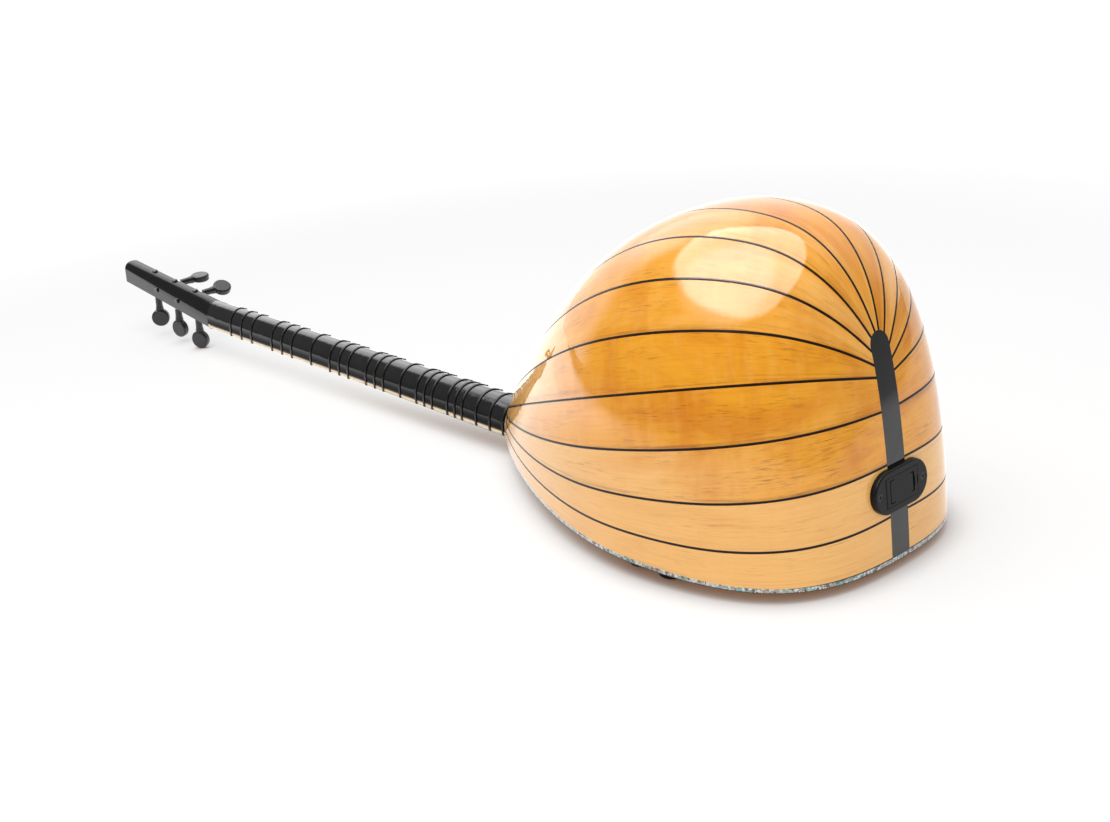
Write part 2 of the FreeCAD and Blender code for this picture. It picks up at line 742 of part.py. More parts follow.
def make_head(seats):
    wires = [neck_wire(HEAD_START.x)]
    for along in HEAD_SECTIONS:
        share = along / HEAD_LENGTH
        wires.append(arched_wire(lambda y, z: head_point(along, y, z), head_half(along), 0.0,
                                 blend(NECK_SIDE, HEAD_TIP_SIDE, share), head_depth(along),
                                 blend(NECK_ROUNDING, HEAD_TIP_ROUNDING, share)))
    head = Part.makeLoft(wires, True, False)
    tip = max(head.Faces, key=lambda face: (face.CenterOfMass - HEAD_START).dot(HEAD_ALONG))
    rim = [edge for edge in tip.Edges if (edge.CenterOfMass - HEAD_START).dot(HEAD_NORMAL) > 0.01]
    head = head.makeFillet(HEAD_TIP_FILLET, rim)
    half = SPLICE_WIDTH / 2 + GLUE_GAP
    socket = box((HEAD_START.x - SPLICE_LENGTH - GLUE_GAP, HEAD_START.x + 1), (-half, half),
                 (SPLICE_Z[0] - GLUE_GAP, SPLICE_Z[1] + GLUE_GAP))
    return head.cut([socket] + [seat.bore() for seat in seats])


# ---------------------------------------------------------------- pegs

class PegSeat:
    """Tapered hole through the head. Its own Z runs into the head, with zero at the face."""

    def __init__(self, base, inward, through, turn, string):
        self.placement = Placement(base, Rotation(HEAD_ALONG, Vector(), inward, "ZXY"))
        self.through = through
        self.turn = turn
        self.string = string

    def radius(self, z):
        return PEG_RADIUS - z * PEG_TAPER / 2

    def placed(self, shape):
        moved = shape.copy()
        moved.Placement = self.placement.multiply(moved.Placement)
        return moved

    def bore(self):
        reach = self.through + PEG_TIP_PROUD
        return self.placed(Part.makeCone(self.radius(-1) + RUNNING_GAP, self.radius(reach) + RUNNING_GAP,
                                         reach + 1, Vector(0, 0, -1)))

    def winding_radius(self):
        """Of the shaft under the last turn of the string."""
        return self.radius(-WINDING_START - 2 * WINDING_TURNS * STRING_RADII[self.string])


def peg_seats():
    seats = []
    for along, turn, string in zip(FRONT_PEGS_FROM_NUT, FRONT_PEG_TURNS, (0, 1, 2)):
        seats.append(PegSeat(head_point(along, 0, 0), HEAD_NORMAL, head_depth(along), turn, string))
    for along, turn, string in zip(SIDE_PEGS_FROM_NUT, SIDE_PEG_TURNS, (3, 4)):
        base = head_point(along, head_half(along), SIDE_PEG_RISE)
        seats.append(PegSeat(base, -Y_AXIS, 2 * head_half(along), turn, string))
    return seats


def make_peg(seat):
    tip = seat.through + PEG_TIP_PROUD
    collar_top = -PEG_SHAFT_LENGTH
    collar_foot = collar_top + PEG_COLLAR_LENGTH
    middle = collar_top - PEG_BUTTON_RADIUS
    profile = [Vector(0, 0, tip),
               Vector(seat.radius(tip) - PEG_TIP_ROUNDING, 0, tip),
               Vector(seat.radius(tip), 0, tip - PEG_TIP_ROUNDING),
               Vector(seat.radius(collar_foot), 0, collar_foot),
               Vector(PEG_COLLAR_RADIUS, 0, collar_top),
               Vector(PEG_BUTTON_NECK, 0, collar_top),
               Vector(PEG_BUTTON_NECK, 0, middle),
               Vector(0, 0, middle)]
    half = PEG_BUTTON_THICKNESS / 2
    button = rod(PEG_BUTTON_RADIUS, Vector(-half, 0, middle), Vector(half, 0, middle))
    button = button.makeFillet(PEG_BUTTON_FILLET, button.Edges[0::2])
    peg = revolve(profile).fuse(button)
    peg.rotate(Vector(0, 0, 0), Z_AXIS, seat.turn)
    return seat.placed(peg)


def make_winding(seat):
    """Turns of the string's end side by side on the peg's shaft."""
    wire_radius = STRING_RADII[seat.string]
    inner = seat.winding_radius() + GLUE_GAP
    valley = inner + wire_radius
    start = -WINDING_START
    edges = []
    for turn in range(WINDING_TURNS):
        low = start - 2 * wire_radius * turn
        edges.append(arc(Vector(valley, 0, low), Vector(valley + wire_radius, 0, low - wire_radius),
                         Vector(valley, 0, low - 2 * wire_radius)))
    end = start - 2 * wire_radius * WINDING_TURNS
    edges += [line(Vector(valley, 0, end), Vector(inner, 0, end)),
              line(Vector(inner, 0, end), Vector(inner, 0, start)),
              line(Vector(inner, 0, start), Vector(valley, 0, start))]
    coil = Part.Face(Part.Wire(edges)).revolve(Vector(0, 0, 0), Z_AXIS, 360)
    return seat.placed(coil)


# ---------------------------------------------------------------- bridge, anchor and strings

BRIDGE_X = SCALE_LENGTH - NECK_LENGTH
ANCHOR_X = BOWL_LENGTH - ANCHOR_FROM_TAIL


def string_depth_at_bridge(radius):
    """Height of a string's middle, sunk just below the crown."""
    return -BRIDGE_HEIGHT + radius + SLOT_PLAY


def make_bridge():
    half = BRIDGE_LENGTH / 2
    crown = BRIDGE_CROWN_LENGTH / 2
    outline = [Vector(0, -half, 0), Vector(0, half, 0), Vector(0, half, -BRIDGE_FOOT_HEIGHT),
               Vector(0, crown, -BRIDGE_HEIGHT), Vector(0, -crown, -BRIDGE_HEIGHT),
               Vector(0, -half, -BRIDGE_FOOT_HEIGHT)]
    front = Part.Face(Part.makePolygon(outline + [outline[0]])).extrude(Vector(BRIDGE_FOOT, 0, 0))
    front.translate(Vector(-BRIDGE_FOOT / 2, 0, 0))
    wedge = [Vector(-BRIDGE_FOOT / 2, -half, 0), Vector(BRIDGE_FOOT / 2, -half, 0),
             Vector(BRIDGE_CROWN / 2, -half, -BRIDGE_HEIGHT),
             Vector(-BRIDGE_CROWN / 2, -half, -BRIDGE_HEIGHT)]
    side = Part.Face(Part.makePolygon(wedge + [wedge[0]])).extrude(Vector(0, BRIDGE_LENGTH, 0))
    bridge = front.common(side)
    flat = BRIDGE_ARCH_LENGTH / 2 - BRIDGE_ARCH_RADIUS
    for middle in (-BRIDGE_ARCH_SPAN, BRIDGE_ARCH_SPAN):
        ends = [rod(BRIDGE_ARCH_RADIUS, Vector(-BRIDGE_FOOT, y, 0), Vector(BRIDGE_FOOT, y, 0))
                for y in (middle - flat, middle + flat)]
        opening = box((-BRIDGE_FOOT, BRIDGE_FOOT), (middle - flat, middle + flat), (-BRIDGE_ARCH_RADIUS, 1))
        bridge = bridge.cut(ends + [opening])
    for y, radius in zip(STRING_Y_AT_BRIDGE, STRING_RADII):
        reach = radius + SLOT_PLAY
        bridge = bridge.cut(box((-BRIDGE_FOOT, BRIDGE_FOOT), (y - reach, y + reach),
                                (-BRIDGE_HEIGHT - 1, string_depth_at_bridge(radius) + reach)))
    bridge.translate(Vector(BRIDGE_X, 0, 0))
    return bridge


def make_anchor():
    """Bar on the soundboard near the tail that holds the strings' ends."""
    anchor = centred_box(Vector(ANCHOR_X, 0, -ANCHOR_HEIGHT / 2),
                         Vector(ANCHOR_LENGTH, ANCHOR_WIDTH, ANCHOR_HEIGHT))
    lower = [edge for edge in anchor.Edges if edge.BoundBox.ZMax < -ANCHOR_HEIGHT + 0.01]
    anchor = anchor.makeFillet(ANCHOR_FILLET, lower)
    for y in STRING_Y_AT_BRIDGE:
        anchor = anchor.cut(rod(ANCHOR_HOLE_RADIUS, Vector(ANCHOR_X - ANCHOR_LENGTH, y, -ANCHOR_HOLE_RISE),
                                Vector(ANCHOR_X + ANCHOR_LENGTH, y, -ANCHOR_HOLE_RISE)))
    return anchor


def string_route(index, seats):
    """Corners of one string from the anchor over bridge and nut to its peg."""
    radius = STRING_RADII[index]
    y_bridge = STRING_Y_AT_BRIDGE[index]
    hole = Vector(ANCHOR_X - ANCHOR_LENGTH / 2 + 1, y_bridge, -ANCHOR_HOLE_RISE)
    route = [hole + X_AXIS * (ANCHOR_LENGTH - 2), hole,
             Vector(BRIDGE_X, y_bridge, string_depth_at_bridge(radius)),
             Vector(HEAD_START.x + NUT_LENGTH, STRING_Y_AT_NUT[index], SLOT_DEPTH_AT_NUT - NUT_HEIGHT),
             Vector(HEAD_START.x, STRING_Y_AT_NUT[index], SLOT_DEPTH_AT_NUT - NUT_HEIGHT)]
    seat = seats[index]
    beside = seat.winding_radius() + 3 * radius + CLEARANCE
    level = WINDING_START + radius * WINDING_TURNS
    if index < len(FRONT_PEGS_FROM_NUT):
        side = 1 if index == 2 else -1
        return route + [head_point(FRONT_PEGS_FROM_NUT[index], side * beside, -level)]
    along = SIDE_PEGS_FROM_NUT[index - len(FRONT_PEGS_FROM_NUT)]
    turn = along * STRING_EDGE_SHARE
    edge = head_point(turn, head_half(turn) + radius + SLOT_PLAY, -radius - SLOT_PLAY)
    return route + [edge, head_point(along, head_half(along) + level, SIDE_PEG_RISE - beside)]


def make_strings(seats):
    strings = []
    for index, radius in enumerate(STRING_RADII):
        route = string_route(index, seats)
        section = Part.Wire(Part.makeCircle(radius, route[0], route[1] - route[0]))
        strings.append(Part.makePolygon(route).makePipeShell([section], True, False))
    return Part.makeCompound(strings)


# ---------------------------------------------------------------- battery box in the tail

def box_frame():
    """Frame on the tail's face: its own X points out of the bowl, Z up along the tail."""
    place = Vector(tail_x(0.0, BOX_RISE), 0, BOX_RISE)
    return Placement(place, Rotation(X_AXIS, bowl_normal(place)))


BOX_FRAME = box_frame()
WELL_HALF_Y = BATTERY_SIZE[1] / 2 + BATTERY_PLAY + BOX_WALL
WELL_HALF_Z = BATTERY_SIZE[2] / 2 + BATTERY_PLAY + BOX_WALL
DOOR_UNDERSIDE = FLANGE_THICKNESS - DOOR_THICKNESS
RECESS_FLOOR = DOOR_UNDERSIDE - BATTERY_PLAY
BATTERY_FRONT = RECESS_FLOOR - BATTERY_PLAY
SNAP_TIPS = BATTERY_FRONT - BATTERY_SIZE[0] - SNAP_HEIGHT
WELL_END = SNAP_TIPS - CONTACT_THICKNESS - BOX_WALL
RECESS_HALF_Y = DOOR_LENGTH / 2 + CLEARANCE
HINGE_X = FLANGE_THICKNESS - HINGE_RADIUS
HINGE_Y = -DOOR_LENGTH / 2 + HINGE_RADIUS
BOX_SCREWS_AT = (-BOX_SCREW_SPACING / 2, BOX_SCREW_SPACING / 2)


def in_box(shape):
    """Moves a shape from the battery box's own frame to the instrument's."""
    moved = shape.copy()
    moved.Placement = BOX_FRAME.multiply(moved.Placement)
    return moved


def stadium(length, height, x_range):
    """Plate across X with round ends towards -Y and +Y."""
    radius = height / 2
    flat = length / 2 - radius
    ends = [rod(radius, Vector(x_range[0], y, 0), Vector(x_range[1], y, 0)) for y in (-flat, flat)]
    return box(x_range, (-flat, flat), (-radius, radius)).fuse(ends).removeSplitter()


def hinge_rod(radius, reach):
    """Rod on the door's hinge axis, as long on both sides of the middle."""
    return rod(radius, Vector(HINGE_X, HINGE_Y, -reach), Vector(HINGE_X, HINGE_Y, reach))


def box_cutter():
    """Opening for the battery well, with pilot holes for the two screws."""
    half_y = WELL_HALF_Y + CLEARANCE
    half_z = WELL_HALF_Z + CLEARANCE
    well = box((WELL_END - CLEARANCE, FLANGE_THICKNESS), (-half_y, half_y), (-half_z, half_z))
    reach = FLANGE_THICKNESS - BOX_SCREW_LENGTH - CLEARANCE
    pilots = [rod(BOX_SCREW_RADIUS + GLUE_GAP, Vector(reach, y, 0), Vector(FLANGE_THICKNESS, y, 0))
              for y in BOX_SCREWS_AT]
    return in_box(Part.makeCompound([well] + pilots))


def make_housing():
    flange = stadium(FLANGE_LENGTH, FLANGE_HEIGHT, (-2 * FLANGE_THICKNESS, FLANGE_THICKNESS))
    top = [edge for edge in flange.Edges if edge.BoundBox.XMin > FLANGE_THICKNESS - 0.01]
    flange = in_box(flange.makeFillet(FLANGE_FILLET, top))
    reach = FLANGE_LENGTH / 2 + 5
    skin = tail_solid(reach, (BOX_RISE - FLANGE_HEIGHT, BOX_RISE + FLANGE_HEIGHT), -GLUE_GAP,
                      lambda z: BOWL_DEEPEST_AT)
    flange = flange.cut(skin)
    well = box((WELL_END, RECESS_FLOOR), (-WELL_HALF_Y, WELL_HALF_Y), (-WELL_HALF_Z, WELL_HALF_Z))
    half_y = WELL_HALF_Y - BOX_WALL
    half_z = WELL_HALF_Z - BOX_WALL
    cavity = box((WELL_END + BOX_WALL, FLANGE_THICKNESS + 1), (-half_y, half_y), (-half_z, half_z))
    half_height = DOOR_HEIGHT / 2 + CLEARANCE
    recess = box((RECESS_FLOOR, FLANGE_THICKNESS + 1), (-RECESS_HALF_Y, RECESS_HALF_Y),
                 (-half_height, half_height))
    pin = DOOR_HEIGHT / 2 + HINGE_PIN_PROUD + CLEARANCE
    bores = [hinge_rod(HINGE_PIN_RADIUS + GLUE_GAP, pin)]
    for y in BOX_SCREWS_AT:
        bores.append(screw(y, RUNNING_GAP))
    return flange.fuse(in_box(well)).cut([in_box(shape) for shape in [cavity, recess] + bores])


def screw(y, play=0.0):
    """Countersunk screw through the flange, flush with its face."""
    top = FLANGE_THICKNESS - CLEARANCE / 2
    sink = BOX_SCREW_HEAD_RADIUS - BOX_SCREW_RADIUS
    shank = top - BOX_SCREW_LENGTH
    profile = [Vector(0, 0, shank), Vector(BOX_SCREW_RADIUS + play, 0, shank),
               Vector(BOX_SCREW_RADIUS + play, 0, top - sink - play),
               Vector(BOX_SCREW_HEAD_RADIUS, 0, top - play)]
    end = top if play == 0 else FLANGE_THICKNESS + 1
    profile += [Vector(BOX_SCREW_HEAD_RADIUS, 0, end), Vector(0, 0, end)]
    if play == 0:
        profile.pop(-2)
    body = revolve(profile)
    body.rotate(Vector(0, 0, 0), Y_AXIS, 90)
    body.translate(Vector(0, y, 0))
    return body


def make_screws():
    screws = []
    for y in BOX_SCREWS_AT:
        middle = Vector(FLANGE_THICKNESS - CLEARANCE / 2, y, 0)
        cross = [centred_box(middle, Vector(2 * SCREW_SLOT_DEPTH, SCREW_SLOT_LENGTH, SCREW_SLOT)),
                 centred_box(middle, Vector(2 * SCREW_SLOT_DEPTH, SCREW_SLOT, SCREW_SLOT_LENGTH))]
        screws.append(in_box(screw(y).cut(cross)))
    return Part.makeCompound(screws)


def door_groove(y_range, z_range):
    return box((FLANGE_THICKNESS - GROOVE, FLANGE_THICKNESS + 1), y_range, z_range)


def make_door():
    half = DOOR_LENGTH / 2
    half_height = DOOR_HEIGHT / 2
    plate = box((DOOR_UNDERSIDE, FLANGE_THICKNESS), (HINGE_Y, half), (-half_height, half_height))
    barrel = hinge_rod(HINGE_RADIUS, half_height)
    bore = hinge_rod(HINGE_PIN_RADIUS + RUNNING_GAP, half_height + 1)
    floor = FLANGE_THICKNESS - LATCH_THICKNESS - RUNNING_GAP
    start = half - LATCH_WIDTH - LATCH_TRAVEL - CLEARANCE
    side = LATCH_HEIGHT / 2 + RUNNING_GAP
    latch_seat = box((floor, FLANGE_THICKNESS + 1), (start, half + 1), (-side, side))
    line_y = GROOVE_MARGIN + 2 * HINGE_RADIUS - half
    line_z = half_height - GROOVE_MARGIN
    grooves = [door_groove((line_y, line_y + GROOVE), (-line_z, line_z))]
    for sign in (-1, 1):
        tick = sorted((sign * line_z, sign * (line_z - GROOVE)))
        grooves.append(door_groove((line_y, line_y + GROOVE_TICK), tick))
        tick = sorted((sign * side, sign * (side - GROOVE)))
        grooves.append(door_groove((start - GROOVE_TICK / 2, start + 1), tick))
    return in_box(plate.fuse(barrel).cut([bore, latch_seat] + grooves))


def make_latch():
    half = DOOR_LENGTH / 2
    side = LATCH_HEIGHT / 2
    start = half - LATCH_WIDTH
    latch = box((FLANGE_THICKNESS - LATCH_THICKNESS, FLANGE_THICKNESS), (start, half), (-side, side))
    waist = (LATCH_WIDTH - side, side - LATCH_WIDTH)
    steps = [door_groove((start - 1, start + GROOVE), waist), door_groove((half - GROOVE, half + 1), waist)]
    return in_box(latch.cut(steps))


def make_hinge_pin():
    return in_box(hinge_rod(HINGE_PIN_RADIUS, DOOR_HEIGHT / 2 + HINGE_PIN_PROUD))


def make_battery():
    back = BATTERY_FRONT - BATTERY_SIZE[0]
    body = box((back, BATTERY_FRONT), (-BATTERY_SIZE[1] / 2, BATTERY_SIZE[1] / 2),
               (-BATTERY_SIZE[2] / 2, BATTERY_SIZE[2] / 2))
    long_edges = [edge for edge in body.Edges if edge.BoundBox.XLength > BATTERY_SIZE[0] - 1]
    body = body.makeFillet(BATTERY_CORNER, long_edges)
    snaps = [rod(radius, Vector(SNAP_TIPS, y, 0), Vector(back + 1, y, 0))
             for radius, y in zip(SNAP_RADII, (-SNAP_SPACING / 2, SNAP_SPACING / 2))]
    return in_box(body.fuse(snaps))


def make_contacts():
    plates = []
    for y in (-SNAP_SPACING / 2, SNAP_SPACING / 2):
        centre = Vector(SNAP_TIPS - CONTACT_THICKNESS / 2, y, 0)
        plates.append(in_box(centred_box(centre, Vector(CONTACT_THICKNESS, CONTACT_SIZE, CONTACT_SIZE))))
    return Part.makeCompound(plates)


# ---------------------------------------------------------------- knobs and electronics

def at_knob(shape, x):
    moved = shape.copy()
    moved.translate(Vector(x, KNOB_Y, 0))
    return moved


def hexagon(radius, z_range, bore):
    corners = [Vector(radius * math.cos(math.pi * i / 3), radius * math.sin(math.pi * i / 3), z_range[0])
               for i in range(6)]
    nut = Part.Face(Part.makePolygon(corners + [corners[0]])).extrude(Vector(0, 0, z_range[1] - z_range[0]))
    return nut.cut(rod(bore, Vector(0, 0, z_range[0] - 1), Vector(0, 0, z_range[1] + 1)))


def make_knob():
    """Fluted knob below the soundboard's face, pressed on its shaft."""
    low = -KNOB_LIFT - KNOB_HEIGHT
    knob = rod(KNOB_RADIUS, Vector(0, 0, low), Vector(0, 0, -KNOB_LIFT))
    rim = [edge for edge in knob.Edges if edge.BoundBox.ZMax < low + 0.01]
    knob = knob.makeFillet(KNOB_TOP_FILLET, rim)
    flutes = []
    for i in range(KNOB_FLUTES):
        angle = 2 * math.pi * i / KNOB_FLUTES
        place = Vector(KNOB_RADIUS * math.cos(angle), KNOB_RADIUS * math.sin(angle), 0)
        flutes.append(rod(KNOB_FLUTE_RADIUS, place + Z_AXIS * (low - 1), place - Z_AXIS * 2 * KNOB_LIFT))
    recess = rod(KNOB_RECESS_RADIUS, Vector(0, 0, -BUSHING_PROUD - CLEARANCE), Vector(0, 0, 0))
    bore = rod(POT_SHAFT_RADIUS + GLUE_GAP, Vector(0, 0, -POT_SHAFT_PROUD - CLEARANCE), Vector(0, 0, 0))
    return knob.cut(flutes + [recess, bore])


def make_potentiometers():
    pots = []
    top = SOUNDBOARD_THICKNESS + POT_HEIGHT
    case = rod(POT_RADIUS, Vector(0, 0, SOUNDBOARD_THICKNESS), Vector(0, 0, top))
    bushing = rod(BUSHING_RADIUS, Vector(0, 0, -BUSHING_PROUD), Vector(0, 0, SOUNDBOARD_THICKNESS + 1))
    bore = rod(POT_SHAFT_RADIUS + RUNNING_GAP, Vector(0, 0, -BUSHING_PROUD - 1),
               Vector(0, 0, top - BOX_WALL))
    pot = case.fuse(bushing).cut(bore)
    for x in KNOBS_AT:
        pots.append(at_knob(pot, x))
    return Part.makeCompound(pots)


def make_pot_shaft(x):
    inner = SOUNDBOARD_THICKNESS + POT_HEIGHT - BOX_WALL - CLEARANCE
    return at_knob(rod(POT_SHAFT_RADIUS, Vector(0, 0, -POT_SHAFT_PROUD), Vector(0, 0, inner)), x)


def make_pot_nuts():
    nut = hexagon(POT_NUT_RADIUS, (-POT_NUT_HEIGHT, 0), BUSHING_RADIUS + GLUE_GAP)
    return Part.makeCompound([at_knob(nut, x) for x in KNOBS_AT])


def make_board():
    """Preamplifier board across the backs of both controls, with its larger components."""
    base = SOUNDBOARD_THICKNESS + POT_HEIGHT
    top = base + BOARD_SIZE[2]
    board = centred_box(Vector(0, 0, (base + top) / 2), Vector(*BOARD_SIZE))
    chips = [centred_box(Vector(x, 0, top + CHIP_SIZE[2] / 2), Vector(*CHIP_SIZE))
             for x in (-CHIP_SPACING / 2, CHIP_SPACING / 2)]
    cans = [rod(CAN_RADIUS, Vector(x, CAN_FROM_MIDDLE, top), Vector(x, CAN_FROM_MIDDLE, top + CAN_HEIGHT))
            for x in (-CAN_SPACING, 0, CAN_SPACING)]
    return at_knob(board.fuse(chips + cans), sum(KNOBS_AT) / 2)


def make_pickup():
    return rod(PICKUP_RADIUS, Vector(BRIDGE_X, 0, SOUNDBOARD_THICKNESS),
               Vector(BRIDGE_X, 0, SOUNDBOARD_THICKNESS + PICKUP_THICKNESS))


def jack_frame():
    """Frame on the far side of the bowl: its own Z points out of the wood."""
    station = BOWL_LENGTH - JACK_FROM_TAIL
    angle = bisect(lambda a: bowl_point(station, a).z - JACK_RISE, 0.0, math.pi / 2)
    near = bowl_point(station, angle)
    place = Vector(near.x, -near.y, near.z)
    return Placement(place, Rotation(Z_AXIS, bowl_normal(place)))


JACK_FRAME = jack_frame()


def at_jack(shape):
    moved = shape.copy()
    moved.Placement = JACK_FRAME.multiply(moved.Placement)
    return moved


def jack_cutter():
    """Spot faces for the jack's flange and its nut, and the hole for its barrel."""
    inner = -JACK_BARREL_LENGTH
    seat = rod(JACK_FLANGE_RADIUS + CLEARANCE, Vector(0, 0, -JACK_SEAT_DEPTH),
               Vector(0, 0, JACK_FLANGE_RADIUS))
    hole = rod(JACK_BARREL_RADIUS + RUNNING_GAP, Vector(0, 0, inner), Vector(0, 0, 1))
    nut_seat = rod(JACK_NUT_RADIUS + CLEARANCE, Vector(0, 0, inner), Vector(0, 0, -RIB_THICKNESS))
    return at_jack(seat.fuse([hole, nut_seat]))


def make_jack():
    top = JACK_FLANGE_HEIGHT - JACK_SEAT_DEPTH
    flange = rod(JACK_FLANGE_RADIUS, Vector(0, 0, -JACK_SEAT_DEPTH), Vector(0, 0, top))
    rim = [edge for edge in flange.Edges if edge.BoundBox.ZMin > 0]
    flange = flange.makeFillet(JACK_SEAT_DEPTH, rim)
    barrel = rod(JACK_BARREL_RADIUS, Vector(0, 0, -JACK_BARREL_LENGTH), Vector(0, 0, 0))
    bore = rod(JACK_BORE_RADIUS, Vector(0, 0, BOX_WALL - JACK_BARREL_LENGTH),
               Vector(0, 0, JACK_FLANGE_HEIGHT))
    return at_jack(flange.fuse(barrel).cut(bore))


def make_jack_nut():
    top = -RIB_THICKNESS - GLUE_GAP
    return at_jack(hexagon(JACK_NUT_RADIUS, (top - JACK_NUT_HEIGHT, top), JACK_BARREL_RADIUS + GLUE_GAP))


# ---------------------------------------------------------------- assembly

def make_all():
    """Every node by name, in the instrument's own frame."""
    lines = rib_lines()
    prism = strip_prism()
    seats = peg_seats()
    tail_cut = box_cutter()
    nodes = {}
    for number, rib in enumerate(make_ribs(lines, prism), 1):
        nodes["bowl_rib_%02d" % number] = rib.cut([tail_cut, jack_cutter()])
    nodes["rib_purflings"] = make_purflings(lines, prism).cut([tail_cut])
    nodes["tail_strip"] = make_tail_strip(prism).cut([tail_cut])
    nodes["tail_block"] = make_tail_block().cut([tail_cut])
    nodes["neck_block"] = make_neck_block()
    nodes["soundboard"] = make_soundboard()
    nodes["binding"] = make_binding((EDGE_LINE_HEIGHT, SOUNDBOARD_THICKNESS))
    nodes["edge_line"] = make_binding((0.0, EDGE_LINE_HEIGHT))
    nodes["neck"] = make_neck()
    nodes["fingerboard"] = make_fingerboard()
    nodes["nut"] = make_nut()
    nodes["tied_frets"] = make_frets()
    nodes["peg_head"] = make_head(seats)
    for name, seat in zip(PEG_NAMES, seats):
        nodes["peg_" + name] = make_peg(seat)
        nodes["winding_" + name] = make_winding(seat)
    nodes["bridge"] = make_bridge()
    nodes["string_anchor"] = make_anchor()
    nodes["strings"] = make_strings(seats)
    nodes["battery_housing"] = make_housing()
    nodes["battery_door"] = make_door()
    nodes["battery_latch"] = make_latch()
    nodes["battery_hinge_pin"] = make_hinge_pin()
    nodes["battery_screws"] = make_screws()
    nodes["battery"] = make_battery()
    nodes["battery_contacts"] = make_contacts()
    nodes["potentiometers"] = make_potentiometers()
    nodes["pot_nuts"] = make_pot_nuts()
    for name, x in zip(KNOB_NAMES, KNOBS_AT):
        nodes["knob_" + name] = at_knob(make_knob(), x)
        nodes["pot_shaft_" + name] = make_pot_shaft(x)
    nodes["preamp_board"] = make_board()
    nodes["pickup"] = make_pickup()
    nodes["output_jack"] = make_jack()
    nodes["output_jack_nut"] = make_jack_nut()
    return nodes


def lowest(shape, tilt):
    """Lowest point of a shape after turning it about the neck joint."""
    turned = shape.copy()
    turned.rotate(Vector(0, 0, 0), Y_AXIS, tilt)
    return turned.optimalBoundingBox(False).ZMin


def lay_down(nodes):
    """Placement that rests the instrument on its bridge and its lowest peg."""
    bridge = nodes["bridge"]
    peg = nodes["peg_" + LOWEST_PEG]
    tilt = bisect(lambda angle: lowest(bridge, angle) - lowest(peg, angle), 0.0, 6.0, 20)
    corners = []
    for name in nodes:
        turned = nodes[name].copy()
        turned.rotate(Vector(0, 0, 0), Y_AXIS, tilt)
        bounds = turned.optimalBoundingBox(False)
        corners += [(bounds.XMin, bounds.YMin, bounds.ZMin), (bounds.XMax, bounds.YMax, bounds.ZMax)]
    low = [min(corner[i] for corner in corners) for i in range(3)]
    high = [max(corner[i] for corner in corners) for i in range(3)]
    shift = Vector(-(low[0] + high[0]) / 2, -(low[1] + high[1]) / 2, -low[2])
    return Placement(shift, Rotation(Y_AXIS, tilt))


def main():
    os.makedirs("parts", exist_ok=True)
    nodes = make_all()
    matrix = lay_down(nodes).toMatrix()
    for name, shape in nodes.items():
        shape.transformed(matrix, True).exportStep("parts/" + name + ".step")


if __name__ == "__main__":
    main()
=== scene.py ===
"""Looks of a long-necked baglama saz that lies face down on its bridge and its lowest peg.

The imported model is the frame: every solid keeps its place, and this script gives each one
its finish, adds the fine pieces that the solids leave out, and sets up the studio.
"""
import json
import logging
import math
from dataclasses import dataclass, field
from enum import Enum
from typing import Iterable, Sequence, Union

import bmesh
import bpy
import numpy as np
from mathutils import Matrix, Vector


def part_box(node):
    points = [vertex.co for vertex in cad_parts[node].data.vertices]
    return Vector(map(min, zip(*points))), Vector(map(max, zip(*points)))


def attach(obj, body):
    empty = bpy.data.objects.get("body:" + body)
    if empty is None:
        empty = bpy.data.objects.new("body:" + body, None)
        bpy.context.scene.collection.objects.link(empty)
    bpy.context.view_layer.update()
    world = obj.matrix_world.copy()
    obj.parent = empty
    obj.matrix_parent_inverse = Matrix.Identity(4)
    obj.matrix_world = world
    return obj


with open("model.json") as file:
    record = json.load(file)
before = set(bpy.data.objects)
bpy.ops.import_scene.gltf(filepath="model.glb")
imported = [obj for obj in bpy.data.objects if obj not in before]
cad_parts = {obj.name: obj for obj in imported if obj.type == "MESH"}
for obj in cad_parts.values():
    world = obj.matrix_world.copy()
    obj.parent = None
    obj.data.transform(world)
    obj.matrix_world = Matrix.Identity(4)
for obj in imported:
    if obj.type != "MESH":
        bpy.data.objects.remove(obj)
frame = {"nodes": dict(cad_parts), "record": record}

logging.basicConfig(level=logging.INFO, format="%(message)s")
log = logging.getLogger("saz")

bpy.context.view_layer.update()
MM = 0.001
MERGE_WITHIN = 0.001 * MM
FINE_RELIEF = 0.2 * MM
FINEST_RELIEF = 0.1 * MM
Colour = tuple[float, float, float]


# ---------------------------------------------------------------- shader graph

